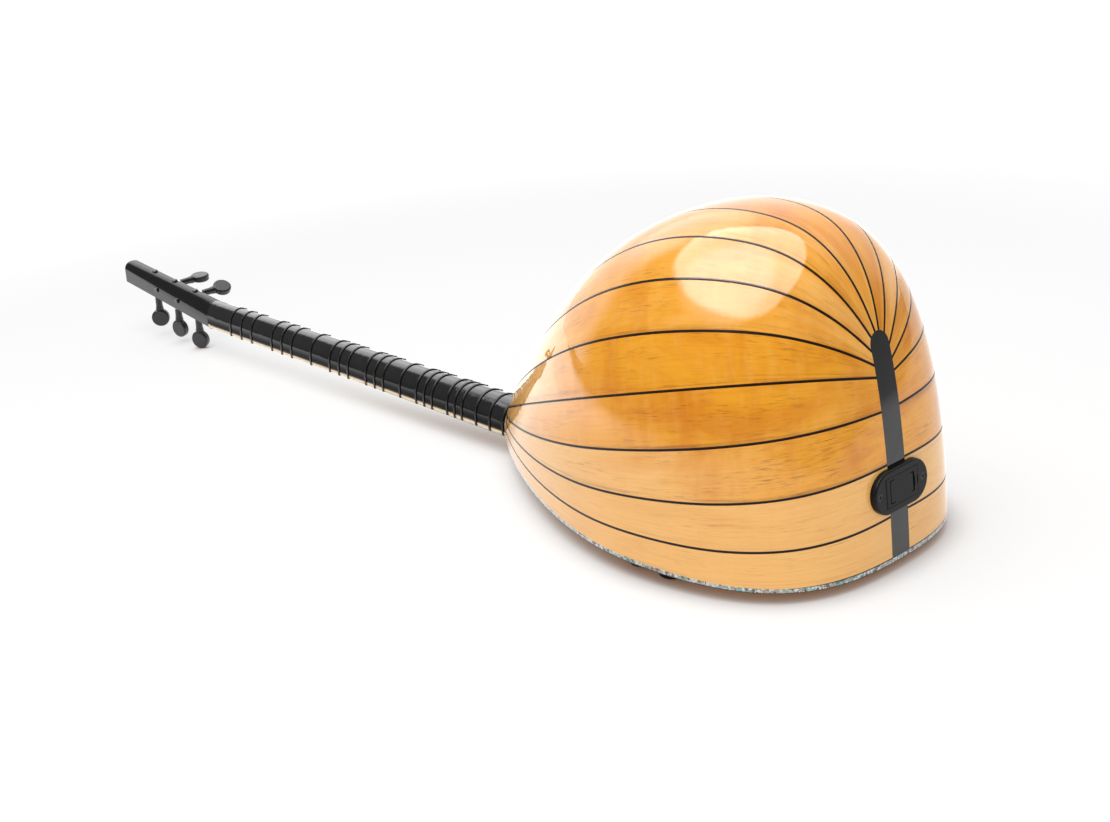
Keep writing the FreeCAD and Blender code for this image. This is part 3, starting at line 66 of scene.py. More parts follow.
class Value:
    """A shader value; Python operators on it add Math nodes."""

    def __init__(self, graph: "Graph", socket: bpy.types.NodeSocket) -> None:
        """Keep the graph that holds the socket."""
        self.graph = graph
        self.socket = socket

    def math(self, operation: str, *others: "Number", first: bool = True) -> "Value":
        """Combine this value with others.

        Args:
            operation: name of the Math node's operation.
            others: the other operands.
            first: whether this value is the first operand.

        Returns:
            The result as a new value.
        """
        operands = [self, *others] if first else [*others, self]
        made = self.graph.node("ShaderNodeMath", {"operation": operation}, dict(enumerate(operands)))
        return Value(self.graph, made.outputs[0])

    def __add__(self, other: "Number") -> "Value":
        """Sum."""
        return self.math("ADD", other)

    __radd__ = __add__

    def __sub__(self, other: "Number") -> "Value":
        """Difference."""
        return self.math("SUBTRACT", other)

    def __rsub__(self, other: "Number") -> "Value":
        """Difference from a number."""
        return self.math("SUBTRACT", other, first=False)

    def __mul__(self, other: "Number") -> "Value":
        """Product."""
        return self.math("MULTIPLY", other)

    __rmul__ = __mul__

    def __truediv__(self, other: "Number") -> "Value":
        """Quotient."""
        return self.math("DIVIDE", other)

    def step(self, low: float, high: float) -> "Value":
        """Smooth rise from 0 at low to 1 at high.

        Args:
            low: value that gives 0.
            high: value that gives 1.

        Returns:
            The share between them, held within 0 and 1.
        """
        made = self.graph.node("ShaderNodeMapRange", {"interpolation_type": "SMOOTHSTEP"},
                               {"Value": self, "From Min": low, "From Max": high})
        return Value(self.graph, made.outputs["Result"])


Number = Union[Value, float]
Socketed = Union[Value, float, Sequence[float], bpy.types.NodeSocket]


class Graph:
    """Node tree of one material or of the world."""

    def __init__(self, name: str, world: bool = False) -> None:
        """Start an empty tree.

        Args:
            name: name of the material or world.
            world: whether it is a world.
        """
        self.block = (bpy.data.worlds if world else bpy.data.materials).new(name)
        self.block.use_nodes = True
        self.tree = self.block.node_tree
        self.tree.nodes.clear()

    def node(self, kind: str, settings: dict[str, object],
             inputs: dict[Union[str, int], Socketed]) -> bpy.types.Node:
        """Add a node.

        Args:
            kind: the node's type.
            settings: its properties, which are set first.
            inputs: value or link for each socket that isn't left alone.

        Returns:
            The node.
        """
        made = self.tree.nodes.new(kind)
        for key, value in settings.items():
            setattr(made, key, value)
        for key, value in inputs.items():
            source = value.socket if isinstance(value, Value) else value
            if isinstance(source, bpy.types.NodeSocket):
                self.tree.links.new(source, made.inputs[key])
            else:
                made.inputs[key].default_value = source
        return made

    def place(self) -> bpy.types.NodeSocket:
        """Position on the object, in metres, or the direction of view in the world's tree."""
        return self.node("ShaderNodeTexCoord", {}, {}).outputs["Object"]

    def axis(self, name: str) -> Value:
        """One coordinate of the position, by its letter."""
        made = self.node("ShaderNodeSeparateXYZ", {}, {0: self.place()})
        return Value(self, made.outputs[name])

    def along(self, direction: Sequence[float]) -> Value:
        """Measure the position along a direction.

        Args:
            direction: the direction.

        Returns:
            The distance along it.
        """
        made = self.node("ShaderNodeVectorMath", {"operation": "DOT_PRODUCT"},
                         {0: self.place(), 1: tuple(direction)})
        return Value(self, made.outputs["Value"])

    def point(self, x: Number, y: Number, z: Number) -> bpy.types.NodeSocket:
        """Vector from three values."""
        return self.node("ShaderNodeCombineXYZ", {}, {0: x, 1: y, 2: z}).outputs[0]

    def stretched(self, scales: Sequence[float]) -> bpy.types.NodeSocket:
        """Position scaled along each axis."""
        return self.point(*(self.axis(letter) * scale for letter, scale in zip("XYZ", scales)))

    def noise(self, place: bpy.types.NodeSocket, scale: float, detail: float = 3.0,
              roughness: float = 0.55, distortion: float = 0.0) -> Value:
        """Soft noise.

        Args:
            place: the vector it reads.
            scale: waves per unit of the vector.
            detail: octaves.
            roughness: strength of each further octave.
            distortion: how far the pattern folds over itself.

        Returns:
            The noise, from 0 to 1.
        """
        made = self.node("ShaderNodeTexNoise", {}, {"Vector": place, "Scale": scale, "Detail": detail,
                                                    "Roughness": roughness, "Distortion": distortion})
        return Value(self, made.outputs[0])

    def ray(self, kind: str) -> Value:
        """Whether the light path is of that kind, as 0 or 1."""
        return Value(self, self.node("ShaderNodeLightPath", {}, {}).outputs[f"Is {kind} Ray"])

    def mix(self, share: Number, low: Socketed, high: Socketed) -> bpy.types.NodeSocket:
        """Blend two colours.

        Args:
            share: share of the second colour.
            low: first colour.
            high: second colour.

        Returns:
            The blend.
        """
        made = self.node("ShaderNodeMix", {"data_type": "RGBA"},
                         {0: share, 6: rgba(low), 7: rgba(high)})
        return made.outputs[2]

    def bump(self, height: Value, strength: float, distance: float) -> bpy.types.NodeSocket:
        """Normal bent by a height."""
        made = self.node("ShaderNodeBump", {}, {"Height": height, "Strength": strength, "Distance": distance})
        return made.outputs[0]

    def finish(self, inputs: dict[str, Socketed]) -> bpy.types.Material:
        """Close the graph with a Principled shader.

        Args:
            inputs: value or link for each of its sockets.

        Returns:
            The material.
        """
        sockets = {key: rgba(value) if key == "Base Color" else value for key, value in inputs.items()}
        shader = self.node("ShaderNodeBsdfPrincipled", {}, sockets)
        self.node("ShaderNodeOutputMaterial", {}, {"Surface": shader.outputs[0]})
        return self.block


def rgba(value: Socketed) -> Socketed:
    """Add an alpha of 1 to a plain colour."""
    return (*value, 1.0) if isinstance(value, tuple) and len(value) == 3 else value


def grey(level: float) -> tuple[float, float, float, float]:
    """Neutral linear colour."""
    return level, level, level, 1.0


def shade(red: float, green: float, blue: float) -> Colour:
    """Linear colour from the screen values that a swatch would read.

    Args:
        red: first channel, from 0 to 255.
        green: second channel.
        blue: third channel.

    Returns:
        The colour.
    """
    def linear(value: float) -> float:
        """One channel."""
        share = value / 255
        return share / 12.92 if share <= 0.04045 else ((share + 0.055) / 1.055) ** 2.4
    return linear(red), linear(green), linear(blue)


def tinted(colour: Colour, factor: float) -> Colour:
    """Colour made paler or darker by a factor."""
    return tuple(min(1.0, channel * factor) for channel in colour)


# ---------------------------------------------------------------- meshes

def nodes_like(prefix: str, *without: str) -> list[str]:
    """Names of the CAD nodes that start with a prefix, in order."""
    return sorted(name for name in frame["nodes"] if name.startswith(prefix) and name not in without)


def joint(name: str) -> dict:
    """The record's entry for a joint."""
    return next(item for item in frame["record"]["behaviour"]["joints"] if item["name"] == name)


def merged_copy(name: str) -> bmesh.types.BMesh:
    """Copy a CAD node's mesh and join its loose triangles.

    Args:
        name: the node.

    Returns:
        The copy.
    """
    shell = bmesh.new()
    shell.from_mesh(frame["nodes"][name].data)
    bmesh.ops.remove_doubles(shell, verts=shell.verts, dist=MERGE_WITHIN)
    return shell


def separate_solids(name: str) -> list[np.ndarray]:
    """Corners of each separate solid of a CAD node.

    Args:
        name: the node.

    Returns:
        One array of corner places for each solid.
    """
    shell = merged_copy(name)
    unseen = set(shell.verts)
    solids = []
    for start in shell.verts:
        if start not in unseen:
            continue
        unseen.discard(start)
        group = [start]
        for vert in group:
            for edge in vert.link_edges:
                other = edge.other_vert(vert)
                if other in unseen:
                    unseen.discard(other)
                    group.append(other)
        solids.append(np.array([vert.co[:] for vert in group]))
    shell.free()
    return solids


def add_piece(name: str, shell: bmesh.types.BMesh, material: bpy.types.Material, body: str,
              smooth: bool = True) -> bpy.types.Object:
    """Turn a finished bmesh into a piece that rides on a body.

    Args:
        name: the piece's name.
        shell: its mesh, which is freed.
        material: its finish.
        body: the CAD body that it moves with.
        smooth: whether its faces are shaded smooth.

    Returns:
        The piece.
    """
    bmesh.ops.recalc_face_normals(shell, faces=shell.faces)
    for face in shell.faces:
        face.smooth = smooth
    mesh = bpy.data.meshes.new(name)
    shell.to_mesh(mesh)
    shell.free()
    mesh.materials.append(material)
    piece = bpy.data.objects.new(name, mesh)
    bpy.context.scene.collection.objects.link(piece)
    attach(piece, body)
    log.info("piece %s: %d faces on %s", name, len(mesh.polygons), body)
    return piece


def dress(names: Iterable[str], material: bpy.types.Material) -> None:
    """Give CAD nodes a material.

    Args:
        names: the nodes.
        material: their finish.
    """
    for name in names:
        for slot in frame["nodes"][name].material_slots:
            slot.material = material
        log.info("%s wears %s", name, material.name)


# ---------------------------------------------------------------- finishes

@dataclass(frozen=True)
class Plane:
    """Plane with its unit normal, and its distance from the origin along that normal."""

    normal: tuple[float, float, float]
    offset: float

    def distance(self, graph: Graph) -> Value:
        """Signed distance of the shaded point from the plane."""
        return graph.along(self.normal) - self.offset


class Finish:
    """Finish of a surface."""

    def sockets(self, graph: Graph) -> dict[str, Socketed]:
        """Work out the finish.

        Args:
            graph: the material's tree.

        Returns:
            Value or link for each socket of the shader.
        """
        raise NotImplementedError

    def material(self, name: str) -> bpy.types.Material:
        """Build the material under that name."""
        graph = Graph(name)
        return graph.finish(self.sockets(graph))


class Figure(Enum):
    """How a stave was cut: share of amber in its clouds, and share of dark flecks."""

    QUIET = (0.14, 0.40)
    WARM = (0.68, 0.75)
    FLAMED = (0.96, 1.00)


@dataclass(frozen=True)
class Grain:
    """Noise stretched along a piece of wood: waves per metre along and across it, and its own seed."""

    along: float
    across: float
    seed: float
    detail: float = 3.0
    roughness: float = 0.6
    fold: float = 0.0

    def on(self, graph: Graph, run: Value, across: Value, seed: float = 0.0) -> Value:
        """Lay the noise on the wood.

        Args:
            graph: the material's tree.
            run: place along the grain.
            across: place across it.
            seed: the piece's seed, which is added to the noise's own.

        Returns:
            The noise, from 0 to 1.
        """
        place = graph.point(run * self.along, across * self.across, seed + self.seed)
        return graph.noise(place, 1.0, self.detail, self.roughness, self.fold)


FLAMES = Grain(9.0, 24.0, 0.0, 4.0, fold=0.7)
BANDS = Grain(5.0, 150.0, 2.2, roughness=0.5)
FIBRES = Grain(26.0, 1500.0, 3.1, 2.0)
STREAKS = Grain(12.0, 420.0, 7.7)
FLECKS = Grain(38.0, 1500.0, 1.3, 1.0, 0.5)
PATCHES = Grain(16.0, 60.0, 5.9)
CURL = Grain(110.0, 40.0, 9.2, 2.0, 0.5)
PORES = Grain(75.0, 560.0, 6.6)
MOTTLE = Grain(20.0, 7.0, 4.4, 4.0, fold=0.3)
RING_DRIFT = Grain(2.0, 14.0, 0.5, 2.0, 0.55)
LONG_FIBRES = Grain(40.0, 2200.0, 2.0, 2.0, 0.55)
CLOUDS = Grain(9.0, 40.0, 4.0, roughness=0.55)


@dataclass(frozen=True)
class RibWood(Finish):
    """Honey-coloured stave under clear gloss lacquer, with its grain between two planes."""

    low: Plane
    high: Plane
    figure: Figure
    heart: float
    seed: float
    reach: float = 290 * MM
    fade: float = 1.15
    lean: float = 0.8
    pale: Colour = shade(246, 188, 106)
    honey: Colour = shade(238, 162, 38)
    amber: Colour = shade(210, 120, 12)
    umber: Colour = shade(92, 46, 14)
    line: Colour = shade(34, 20, 13)
    width: float = 40 * MM
    glue_line: tuple[float, float] = (0.85 * MM, 1.15 * MM)
    joint_shade: float = 9 * MM

    def sockets(self, graph: Graph) -> dict[str, Socketed]:
        """Layer amber, dark flecks and the glue line over the pale wood.

        Args:
            graph: the material's tree.

        Returns:
            Value or link for each socket of the shader.
        """
        clouded, flecked = self.figure.value
        away = ((graph.axis("X") - self.heart) / self.reach).math("ABSOLUTE")
        clouded = (self.fade - away).step(0.0, 1.0) * clouded
        below = self.low.distance(graph)
        above = self.high.distance(graph)
        across = below / (below - above) * self.width
        run = graph.axis("X") - graph.axis("Y").math("ABSOLUTE") * self.lean
        flames, bands, fibres, streaks, flecks, patches, curl, pores, mottle = (
            grain.on(graph, run, across, self.seed)
            for grain in (FLAMES, BANDS, FIBRES, STREAKS, FLECKS, PATCHES, CURL, PORES, MOTTLE))
        beside = 1.0 - below.step(0.0, self.joint_shade)
        edge = below.math("MINIMUM", above * -1.0)
        tone = flames * 0.6 + bands * 0.3 + clouded * 0.9 - 0.40
        wood = graph.mix(tone.step(0.22, 0.80), self.pale, self.honey)
        layers = (
            (flames.step(0.44, 0.72) * clouded * 0.85, self.amber),
            (mottle.step(0.45, 0.68) * clouded * 0.55, self.amber),
            (streaks.step(0.54, 0.80) * (clouded * 0.26 + 0.16), self.amber),
            (fibres.step(0.45, 0.80) * 0.34, self.amber),
            (pores.step(0.50, 0.76) * patches.step(0.36, 0.60) * (0.34 * flecked), self.umber),
            (flecks.step(0.62, 0.74) * patches.step(0.47, 0.62) * (0.80 * flecked), self.umber),
            (streaks.step(0.66, 0.84) * patches.step(0.52, 0.64) * (0.55 * flecked), self.umber),
            (beside * streaks.step(0.40, 0.70) * (0.50 * flecked), self.umber),
            (curl.step(0.45, 0.75) * 0.14, self.pale),
            (1.0 - edge.step(*self.glue_line), self.line))
        for share, colour in layers:
            wood = graph.mix(share, wood, colour)
        return {"Base Color": wood, "Roughness": 0.5, "Specular IOR Level": 0.0,
                "Coat Weight": 1.0, "Coat Roughness": 0.02, "Coat IOR": 1.5,
                "Normal": graph.bump(fibres, 0.06, 0.3 * MM)}


@dataclass(frozen=True)
class BlackLacquer(Finish):
    """Hard black gloss over wood, with a trace of grain in the film; its gloss fades beside a face, as
    painted shade on the side that faces down.
    """

    body: Colour = shade(24, 23, 23)
    worn: Colour = shade(36, 34, 33)
    gloss: float = 1.0
    # share of the gloss that the painted shade leaves at the face
    painted_shade_coat: float = 0.12
    face: Union[Plane, None] = None
    fade: tuple[float, float] = (6 * MM, 19 * MM)
    stretch: tuple[float, float, float] = (30.0, 700.0, 700.0)
    clouding: float = 60.0

    def sockets(self, graph: Graph) -> dict[str, Socketed]:
        """Cloud the black, and fade its gloss towards the face, as painted shade.

        Args:
            graph: the material's tree.

        Returns:
            Value or link for each socket of the shader.
        """
        grain = graph.noise(graph.stretched(self.stretch), 1.0)
        clouds = graph.noise(graph.place(), self.clouding)
        colour = graph.mix(clouds.step(0.45, 0.8) * 0.5, self.body, self.worn)
        coat = (clouds.step(0.2, 0.5) * 0.1 + 0.9) * self.gloss
        # painted shade: the coat fades towards the face, so the downward side reflects little and stays dark
        if self.face:
            coat = coat * (self.face.distance(graph).step(*self.fade) * (1.0 - self.painted_shade_coat) + self.painted_shade_coat)
        return {"Base Color": colour, "Roughness": clouds * 0.2 + 0.4, "Specular IOR Level": 0.0,
                "Coat Weight": coat, "Coat Roughness": 0.06,
                "Normal": graph.bump(grain, 0.08, FINE_RELIEF)}


@dataclass(frozen=True)
class SatinBlack(Finish):
    """Black stain with a satin film, as on turned pegs and tied line."""

    body: Colour = shade(23, 23, 27)
    roughness: float = 0.30
    level: float = 0.5
    rubbing: float = 180.0
    film: float = 1400.0

    def sockets(self, graph: Graph) -> dict[str, Socketed]:
        """Rub the black paler in places.

        Args:
            graph: the material's tree.

        Returns:
            Value or link for each socket of the shader.
        """
        rub = graph.noise(graph.place(), self.rubbing)
        film = graph.noise(graph.place(), self.film, 2.0)
        colour = graph.mix(rub.step(0.45, 0.75) * 0.6, self.body, tinted(self.body, 2.4))
        return {"Base Color": colour, "Roughness": rub * 0.2 + (self.roughness - 0.1),
                "Specular IOR Level": self.level,
                "Normal": graph.bump(film, 0.10, FINE_RELIEF)}


@dataclass(frozen=True)
class MouldedPlastic(Finish):
    """Fine-textured moulded plastic."""

    body: Colour = shade(15, 15, 16)
    roughness: float = 0.34
    texture: float = 0.25
    fineness: float = 2600.0
    smearing: float = 90.0

    def sockets(self, graph: Graph) -> dict[str, Socketed]:
        """Smear the gloss over a fine texture.

        Args:
            graph: the material's tree.

        Returns:
            Value or link for each socket of the shader.
        """
        cells = graph.noise(graph.place(), self.fineness, 2.0, 0.7)
        smears = graph.noise(graph.place(), self.smearing)
        colour = graph.mix(smears.step(0.5, 0.8) * 0.5, self.body, tinted(self.body, 2.0))
        rough = smears * 0.16 + (self.roughness - 0.08)
        return {"Base Color": colour, "Roughness": rough, "Specular IOR Level": 0.15,
                "Normal": graph.bump(cells, self.texture, FINE_RELIEF)}


@dataclass(frozen=True)
class BrightMetal(Finish):
    """Plated or drawn metal with fine scratches."""

    body: Colour = shade(202, 202, 204)
    roughness: float = 0.22
    stretch: tuple[float, float, float] = (400.0, 2500.0, 2500.0)
    dulling: float = 120.0

    def sockets(self, graph: Graph) -> dict[str, Socketed]:
        """Scratch the metal, and dull it in places.

        Args:
            graph: the material's tree.

        Returns:
            Value or link for each socket of the shader.
        """
        scratches = graph.noise(graph.stretched(self.stretch), 1.0, 2.0)
        dull = graph.noise(graph.place(), self.dulling)
        colour = graph.mix(dull.step(0.5, 0.8) * 0.6, self.body, tinted(self.body, 0.7))
        return {"Base Color": colour, "Metallic": 1.0,
                "Roughness": scratches * 0.2 + (self.roughness - 0.08),
                "Normal": graph.bump(scratches, 0.08, FINEST_RELIEF)}


@dataclass(frozen=True)
class WoundString(Finish):
    """Steel wire whose wrap shows as fine rings along its run."""

    body: Colour = shade(186, 182, 172)
    pitch: float = 0.45 * MM
    dulling: float = 90.0

    def sockets(self, graph: Graph) -> dict[str, Socketed]:
        """Ring the wire, and dull it in places.

        Args:
            graph: the material's tree.

        Returns:
            Value or link for each socket of the shader.
        """
        wrap = (graph.axis("X") * (2 * math.pi / self.pitch)).math("SINE") * 0.5 + 0.5
        dull = graph.noise(graph.place(), self.dulling)
        colour = graph.mix(wrap * 0.45, self.body, tinted(self.body, 0.45))
        colour = graph.mix(dull.step(0.5, 0.8) * 0.4, colour, tinted(self.body, 0.6))
        return {"Base Color": colour, "Metallic": 1.0, "Roughness": dull * 0.2 + 0.25,
                "Normal": graph.bump(wrap, 0.5, FINEST_RELIEF)}


@dataclass(frozen=True)
class StraightWood(Finish):
    """Plain-sawn wood with straight grain along X."""

    pale: Colour
    dark: Colour
    lines: float = 420.0
    coat: float = 0.0
    roughness: float = 0.5
    tilt: float = 0.6
    waver: float = 9.0

    def colour(self, graph: Graph) -> bpy.types.NodeSocket:
        """Colour the grain.

        Args:
            graph: the material's tree.

        Returns:
            The colour.
        """
        across = graph.axis("Y") + graph.axis("Z") * self.tilt
        run = graph.axis("X")
        drift = RING_DRIFT.on(graph, run, across)
        rings = (across * self.lines * (2 * math.pi) + drift * self.waver).math("SINE") * 0.5 + 0.5
        fibres = LONG_FIBRES.on(graph, run, across)
        clouds = CLOUDS.on(graph, run, across)
        share = rings.step(0.55, 1.0) * 0.5 + fibres.step(0.5, 0.85) * 0.3 + clouds.step(0.45, 0.8) * 0.25
        return graph.mix(share, self.pale, self.dark)

    def sockets(self, graph: Graph) -> dict[str, Socketed]:
        """Grain the wood under its coat.

        Args:
            graph: the material's tree.

        Returns:
            Value or link for each socket of the shader.
        """
        fibres = LONG_FIBRES.on(graph, graph.axis("X"), graph.axis("Y"))
        return {"Base Color": self.colour(graph), "Roughness": self.roughness,
                "Coat Weight": self.coat, "Coat Roughness": 0.08,
                "Normal": graph.bump(fibres, 0.15, FINE_RELIEF)}


@dataclass(frozen=True)
class FacedWood(Finish):
    """Pale playing face on a board whose sides are stained dark down to a thin edge."""

    face: Plane
    edge: float = 2.4 * MM
    softness: float = 0.2
    pale: StraightWood = StraightWood(shade(240, 216, 174), shade(210, 172, 120), 700.0)
    side: StraightWood = StraightWood(shade(66, 36, 26), shade(34, 20, 16), 500.0)

    def sockets(self, graph: Graph) -> dict[str, Socketed]:
        """Stain the sides, and leave the face and its edge pale.

        Args:
            graph: the material's tree.

        Returns:
            Value or link for each socket of the shader.
        """
        stained = self.face.distance(graph).step(self.edge * (1 - self.softness),
                                                         self.edge * (1 + self.softness))
        colour = graph.mix(stained, self.pale.colour(graph), self.side.colour(graph))
        grain = LONG_FIBRES.on(graph, graph.axis("X"), graph.axis("Y"))
        return {"Base Color": colour, "Roughness": grain * 0.1 + 0.35,
                "Normal": graph.bump(grain, 0.12, FINE_RELIEF)}


@dataclass(frozen=True)
class PearlMosaic(Finish):
    """Edge strip of small shell pieces between thin dark seams."""

    tile: float = 2.4 * MM
    white: Colour = shade(198, 204, 200)
    teal: Colour = shade(104, 164, 154)
    rose: Colour = shade(172, 144, 136)
    smoke: Colour = shade(66, 68, 70)
    randomness: float = 0.9
    lustre: float = 900.0
    teal_from: tuple[float, float] = (0.42, 0.60)
    rose_from: tuple[float, float] = (0.80, 0.84)
    smoke_from: tuple[float, float] = (0.78, 0.82)
    seam: tuple[float, float] = (0.02, 0.08)

    def cells(self, graph: Graph, feature: str) -> bpy.types.Node:
        """Pattern of irregular shell pieces."""
        return graph.node("ShaderNodeTexVoronoi", {"feature": feature},
                          {"Vector": graph.place(), "Scale": 1 / self.tile, "Randomness": self.randomness})

    def sockets(self, graph: Graph) -> dict[str, Socketed]:
        """Colour each piece of shell, and darken the seams.

        Args:
            graph: the material's tree.

        Returns:
            Value or link for each socket of the shader.
        """
        pick = graph.node("ShaderNodeSeparateColor", {}, {0: self.cells(graph, "F1").outputs["Color"]})
        first, second = Value(graph, pick.outputs[0]), Value(graph, pick.outputs[1])
        sheen = graph.noise(graph.place(), self.lustre)
        colour = graph.mix(first.step(*self.teal_from), self.white, self.teal)
        colour = graph.mix(second.step(*self.rose_from), colour, self.rose)
        colour = graph.mix(first.step(*self.smoke_from), colour, self.smoke)
        colour = graph.mix(sheen.step(0.45, 0.75) * 0.35, colour, self.white)
        edge = Value(graph, self.cells(graph, "DISTANCE_TO_EDGE").outputs["Distance"])
        seam = 1.0 - edge.step(*self.seam)
        return {"Base Color": graph.mix(seam * 0.8, colour, self.smoke), "Roughness": 0.25,
                "Coat Weight": 0.8, "Coat Roughness": 0.05,
                "Normal": graph.bump(sheen, 0.08, FINE_RELIEF)}


@dataclass(frozen=True)
class PlainFilm(Finish):
    """Simple coloured surface with faint mottling."""

    body: Colour
    roughness: float = 0.4
    metallic: float = 0.0
    mottling: float = 260.0

    def sockets(self, graph: Graph) -> dict[str, Socketed]:
        """Mottle the colour.

        Args:
            graph: the material's tree.

        Returns:
            Value or link for each socket of the shader.
        """
        mottle = graph.noise(graph.place(), self.mottling)
        colour = graph.mix(mottle.step(0.4, 0.8) * 0.6, self.body, tinted(self.body, 0.75))
        return {"Base Color": colour, "Metallic": self.metallic,
                "Roughness": mottle * 0.15 + (self.roughness - 0.07),
                "Normal": graph.bump(mottle, 0.05, FINE_RELIEF)}


def playing_face() -> Plane:
    """Find the fingerboard's playing face.

    Returns:
        Its plane, with the normal towards the back of the neck.
    """
    up = -np.array(joint("volume_turn")["axis"])
    board = np.array([vert.co[:] for vert in frame["nodes"]["fingerboard"].data.vertices])
    return Plane(tuple(float(part) for part in up), float((board @ up).min()))


# ---------------------------------------------------------------- instrument

class Assembly:
    """Part of the instrument, which dresses its CAD nodes and adds its fine pieces."""

    def dress(self) -> None:
        """Give the CAD nodes their finish."""

    def add_pieces(self) -> None:
        """Model the fine pieces."""

    def build(self) -> None:
        """Dress the nodes, then add the pieces."""
        log.info("assembly %s", type(self).__name__)
        self.dress()
        self.add_pieces()


@dataclass
class Bowl(Assembly):
    """Seventeen staves with dark lines between them, the black tail strip, the blocks and the binding."""

    lacquer: bpy.types.Material
    cuts: tuple[tuple[Figure, float], ...] = (
        (Figure.QUIET, 0.50), (Figure.QUIET, 0.75), (Figure.FLAMED, 1.25), (Figure.FLAMED, 0.70),
        (Figure.FLAMED, 0.85), (Figure.WARM, 0.70), (Figure.WARM, 0.60), (Figure.WARM, 0.70),
        (Figure.WARM, 0.70))
    far_heart: float = 1.15
    seed_step: float = 3.1
    first_seed: float = 0.4

    def joint_planes(self) -> list[Plane]:
        """Fit a plane to each dark line on the near side, from the lowest to the highest.

        Returns:
            The planes, each with its normal towards the top of the bowl.
        """
        planes = []
        for corners in separate_solids("rib_purflings"):
            centre = corners.mean(axis=0)
            normal = np.linalg.svd(corners - centre, full_matrices=False)[2][2]
            if centre[1] < 0:
                normal = normal if normal[2] > 0 else -normal
                planes.append((centre[2], Plane(tuple(normal), float(normal @ centre))))
        return [plane for _, plane in sorted(planes, key=lambda item: item[0])]

    def dress(self) -> None:
        """Give every stave its own cut of wood, and finish the rest."""
        ribs = nodes_like("bowl_rib")
        near = self.joint_planes()
        floor = Plane((0.0, 0.0, 1.0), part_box(ribs[0])[0].z)
        far = [Plane((-p.normal[0], p.normal[1], -p.normal[2]), -p.offset) for p in reversed(near)]
        roof = Plane((0.0, 0.0, -1.0), -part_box(ribs[-1])[0].z)
        planes = [floor, *near, *far, roof]
        crest_low, crest_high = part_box(ribs[len(ribs) // 2])
        for index, name in enumerate(ribs):
            figure, share = self.cuts[min(index, len(ribs) - 1 - index)]
            if index > len(ribs) // 2:
                share = self.far_heart
            heart = crest_low.x + (crest_high.x - crest_low.x) * share
            seed = self.seed_step * index + self.first_seed
            wood = RibWood(planes[index], planes[index + 1], figure, heart, seed)
            dress([name], wood.material(f"stave_{index + 1:02d}"))
        dress(["tail_strip"], self.lacquer)
        dress(["rib_purflings"], SatinBlack(shade(26, 15, 10), 0.4, 0.1).material("walnut_line"))
        dress(["binding"], PearlMosaic().material("shell_mosaic"))
        block = StraightWood(shade(196, 156, 106), shade(150, 108, 66))
        dress(["tail_block", "neck_block"], block.material("block_wood"))


@dataclass
class Face(Assembly):
    """Soundboard with its edge line, bridge, anchor and strings."""

    lacquer: bpy.types.Material
    ring_radius: float = 1.5 * MM
    ring_wire: float = 0.35 * MM
    ring_sides: int = 8
    ring_turns: int = 20

    def dress(self) -> None:
        """Finish the wood and the wire."""
        spruce = StraightWood(shade(226, 190, 130), shade(184, 136, 78), coat=0.6)
        dress(["soundboard"], spruce.material("spruce"))
        maple = StraightWood(shade(220, 184, 132), shade(184, 140, 88), 700.0)
        dress(["bridge"], maple.material("bridge_maple"))
        dress(["edge_line"], PlainFilm(shade(44, 30, 24), 0.35).material("edge_walnut"))
        dress(["string_anchor"], self.lacquer)
        dress(["strings"], WoundString().material("string_wire"))

    def add_pieces(self) -> None:
        """Hook each string's looped end at the anchor."""
        rings = bmesh.new()
        for corners in separate_solids("strings"):
            end = corners[corners[:, 0] > corners[:, 0].max() - self.ring_wire].mean(axis=0)
            centre = Vector(end) - Vector((self.ring_radius, 0, 0))
            middle = Matrix.Translation(centre + Vector((self.ring_radius, 0, 0)))
            start = middle @ Matrix.Rotation(math.pi / 2, 4, "X")
            made = bmesh.ops.create_circle(rings, segments=self.ring_sides, radius=self.ring_wire,
                                           matrix=start)
            rim = made["verts"] + list({edge for vert in made["verts"] for edge in vert.link_edges})
            bmesh.ops.spin(rings, geom=rim, cent=centre, axis=(0, 0, 1), angle=2 * math.pi,
                           steps=self.ring_turns, use_merge=True)
        wire = BrightMetal(shade(190, 186, 176), 0.3).material("loop_wire")
        add_piece("string_loops", rings, wire, "instrument")


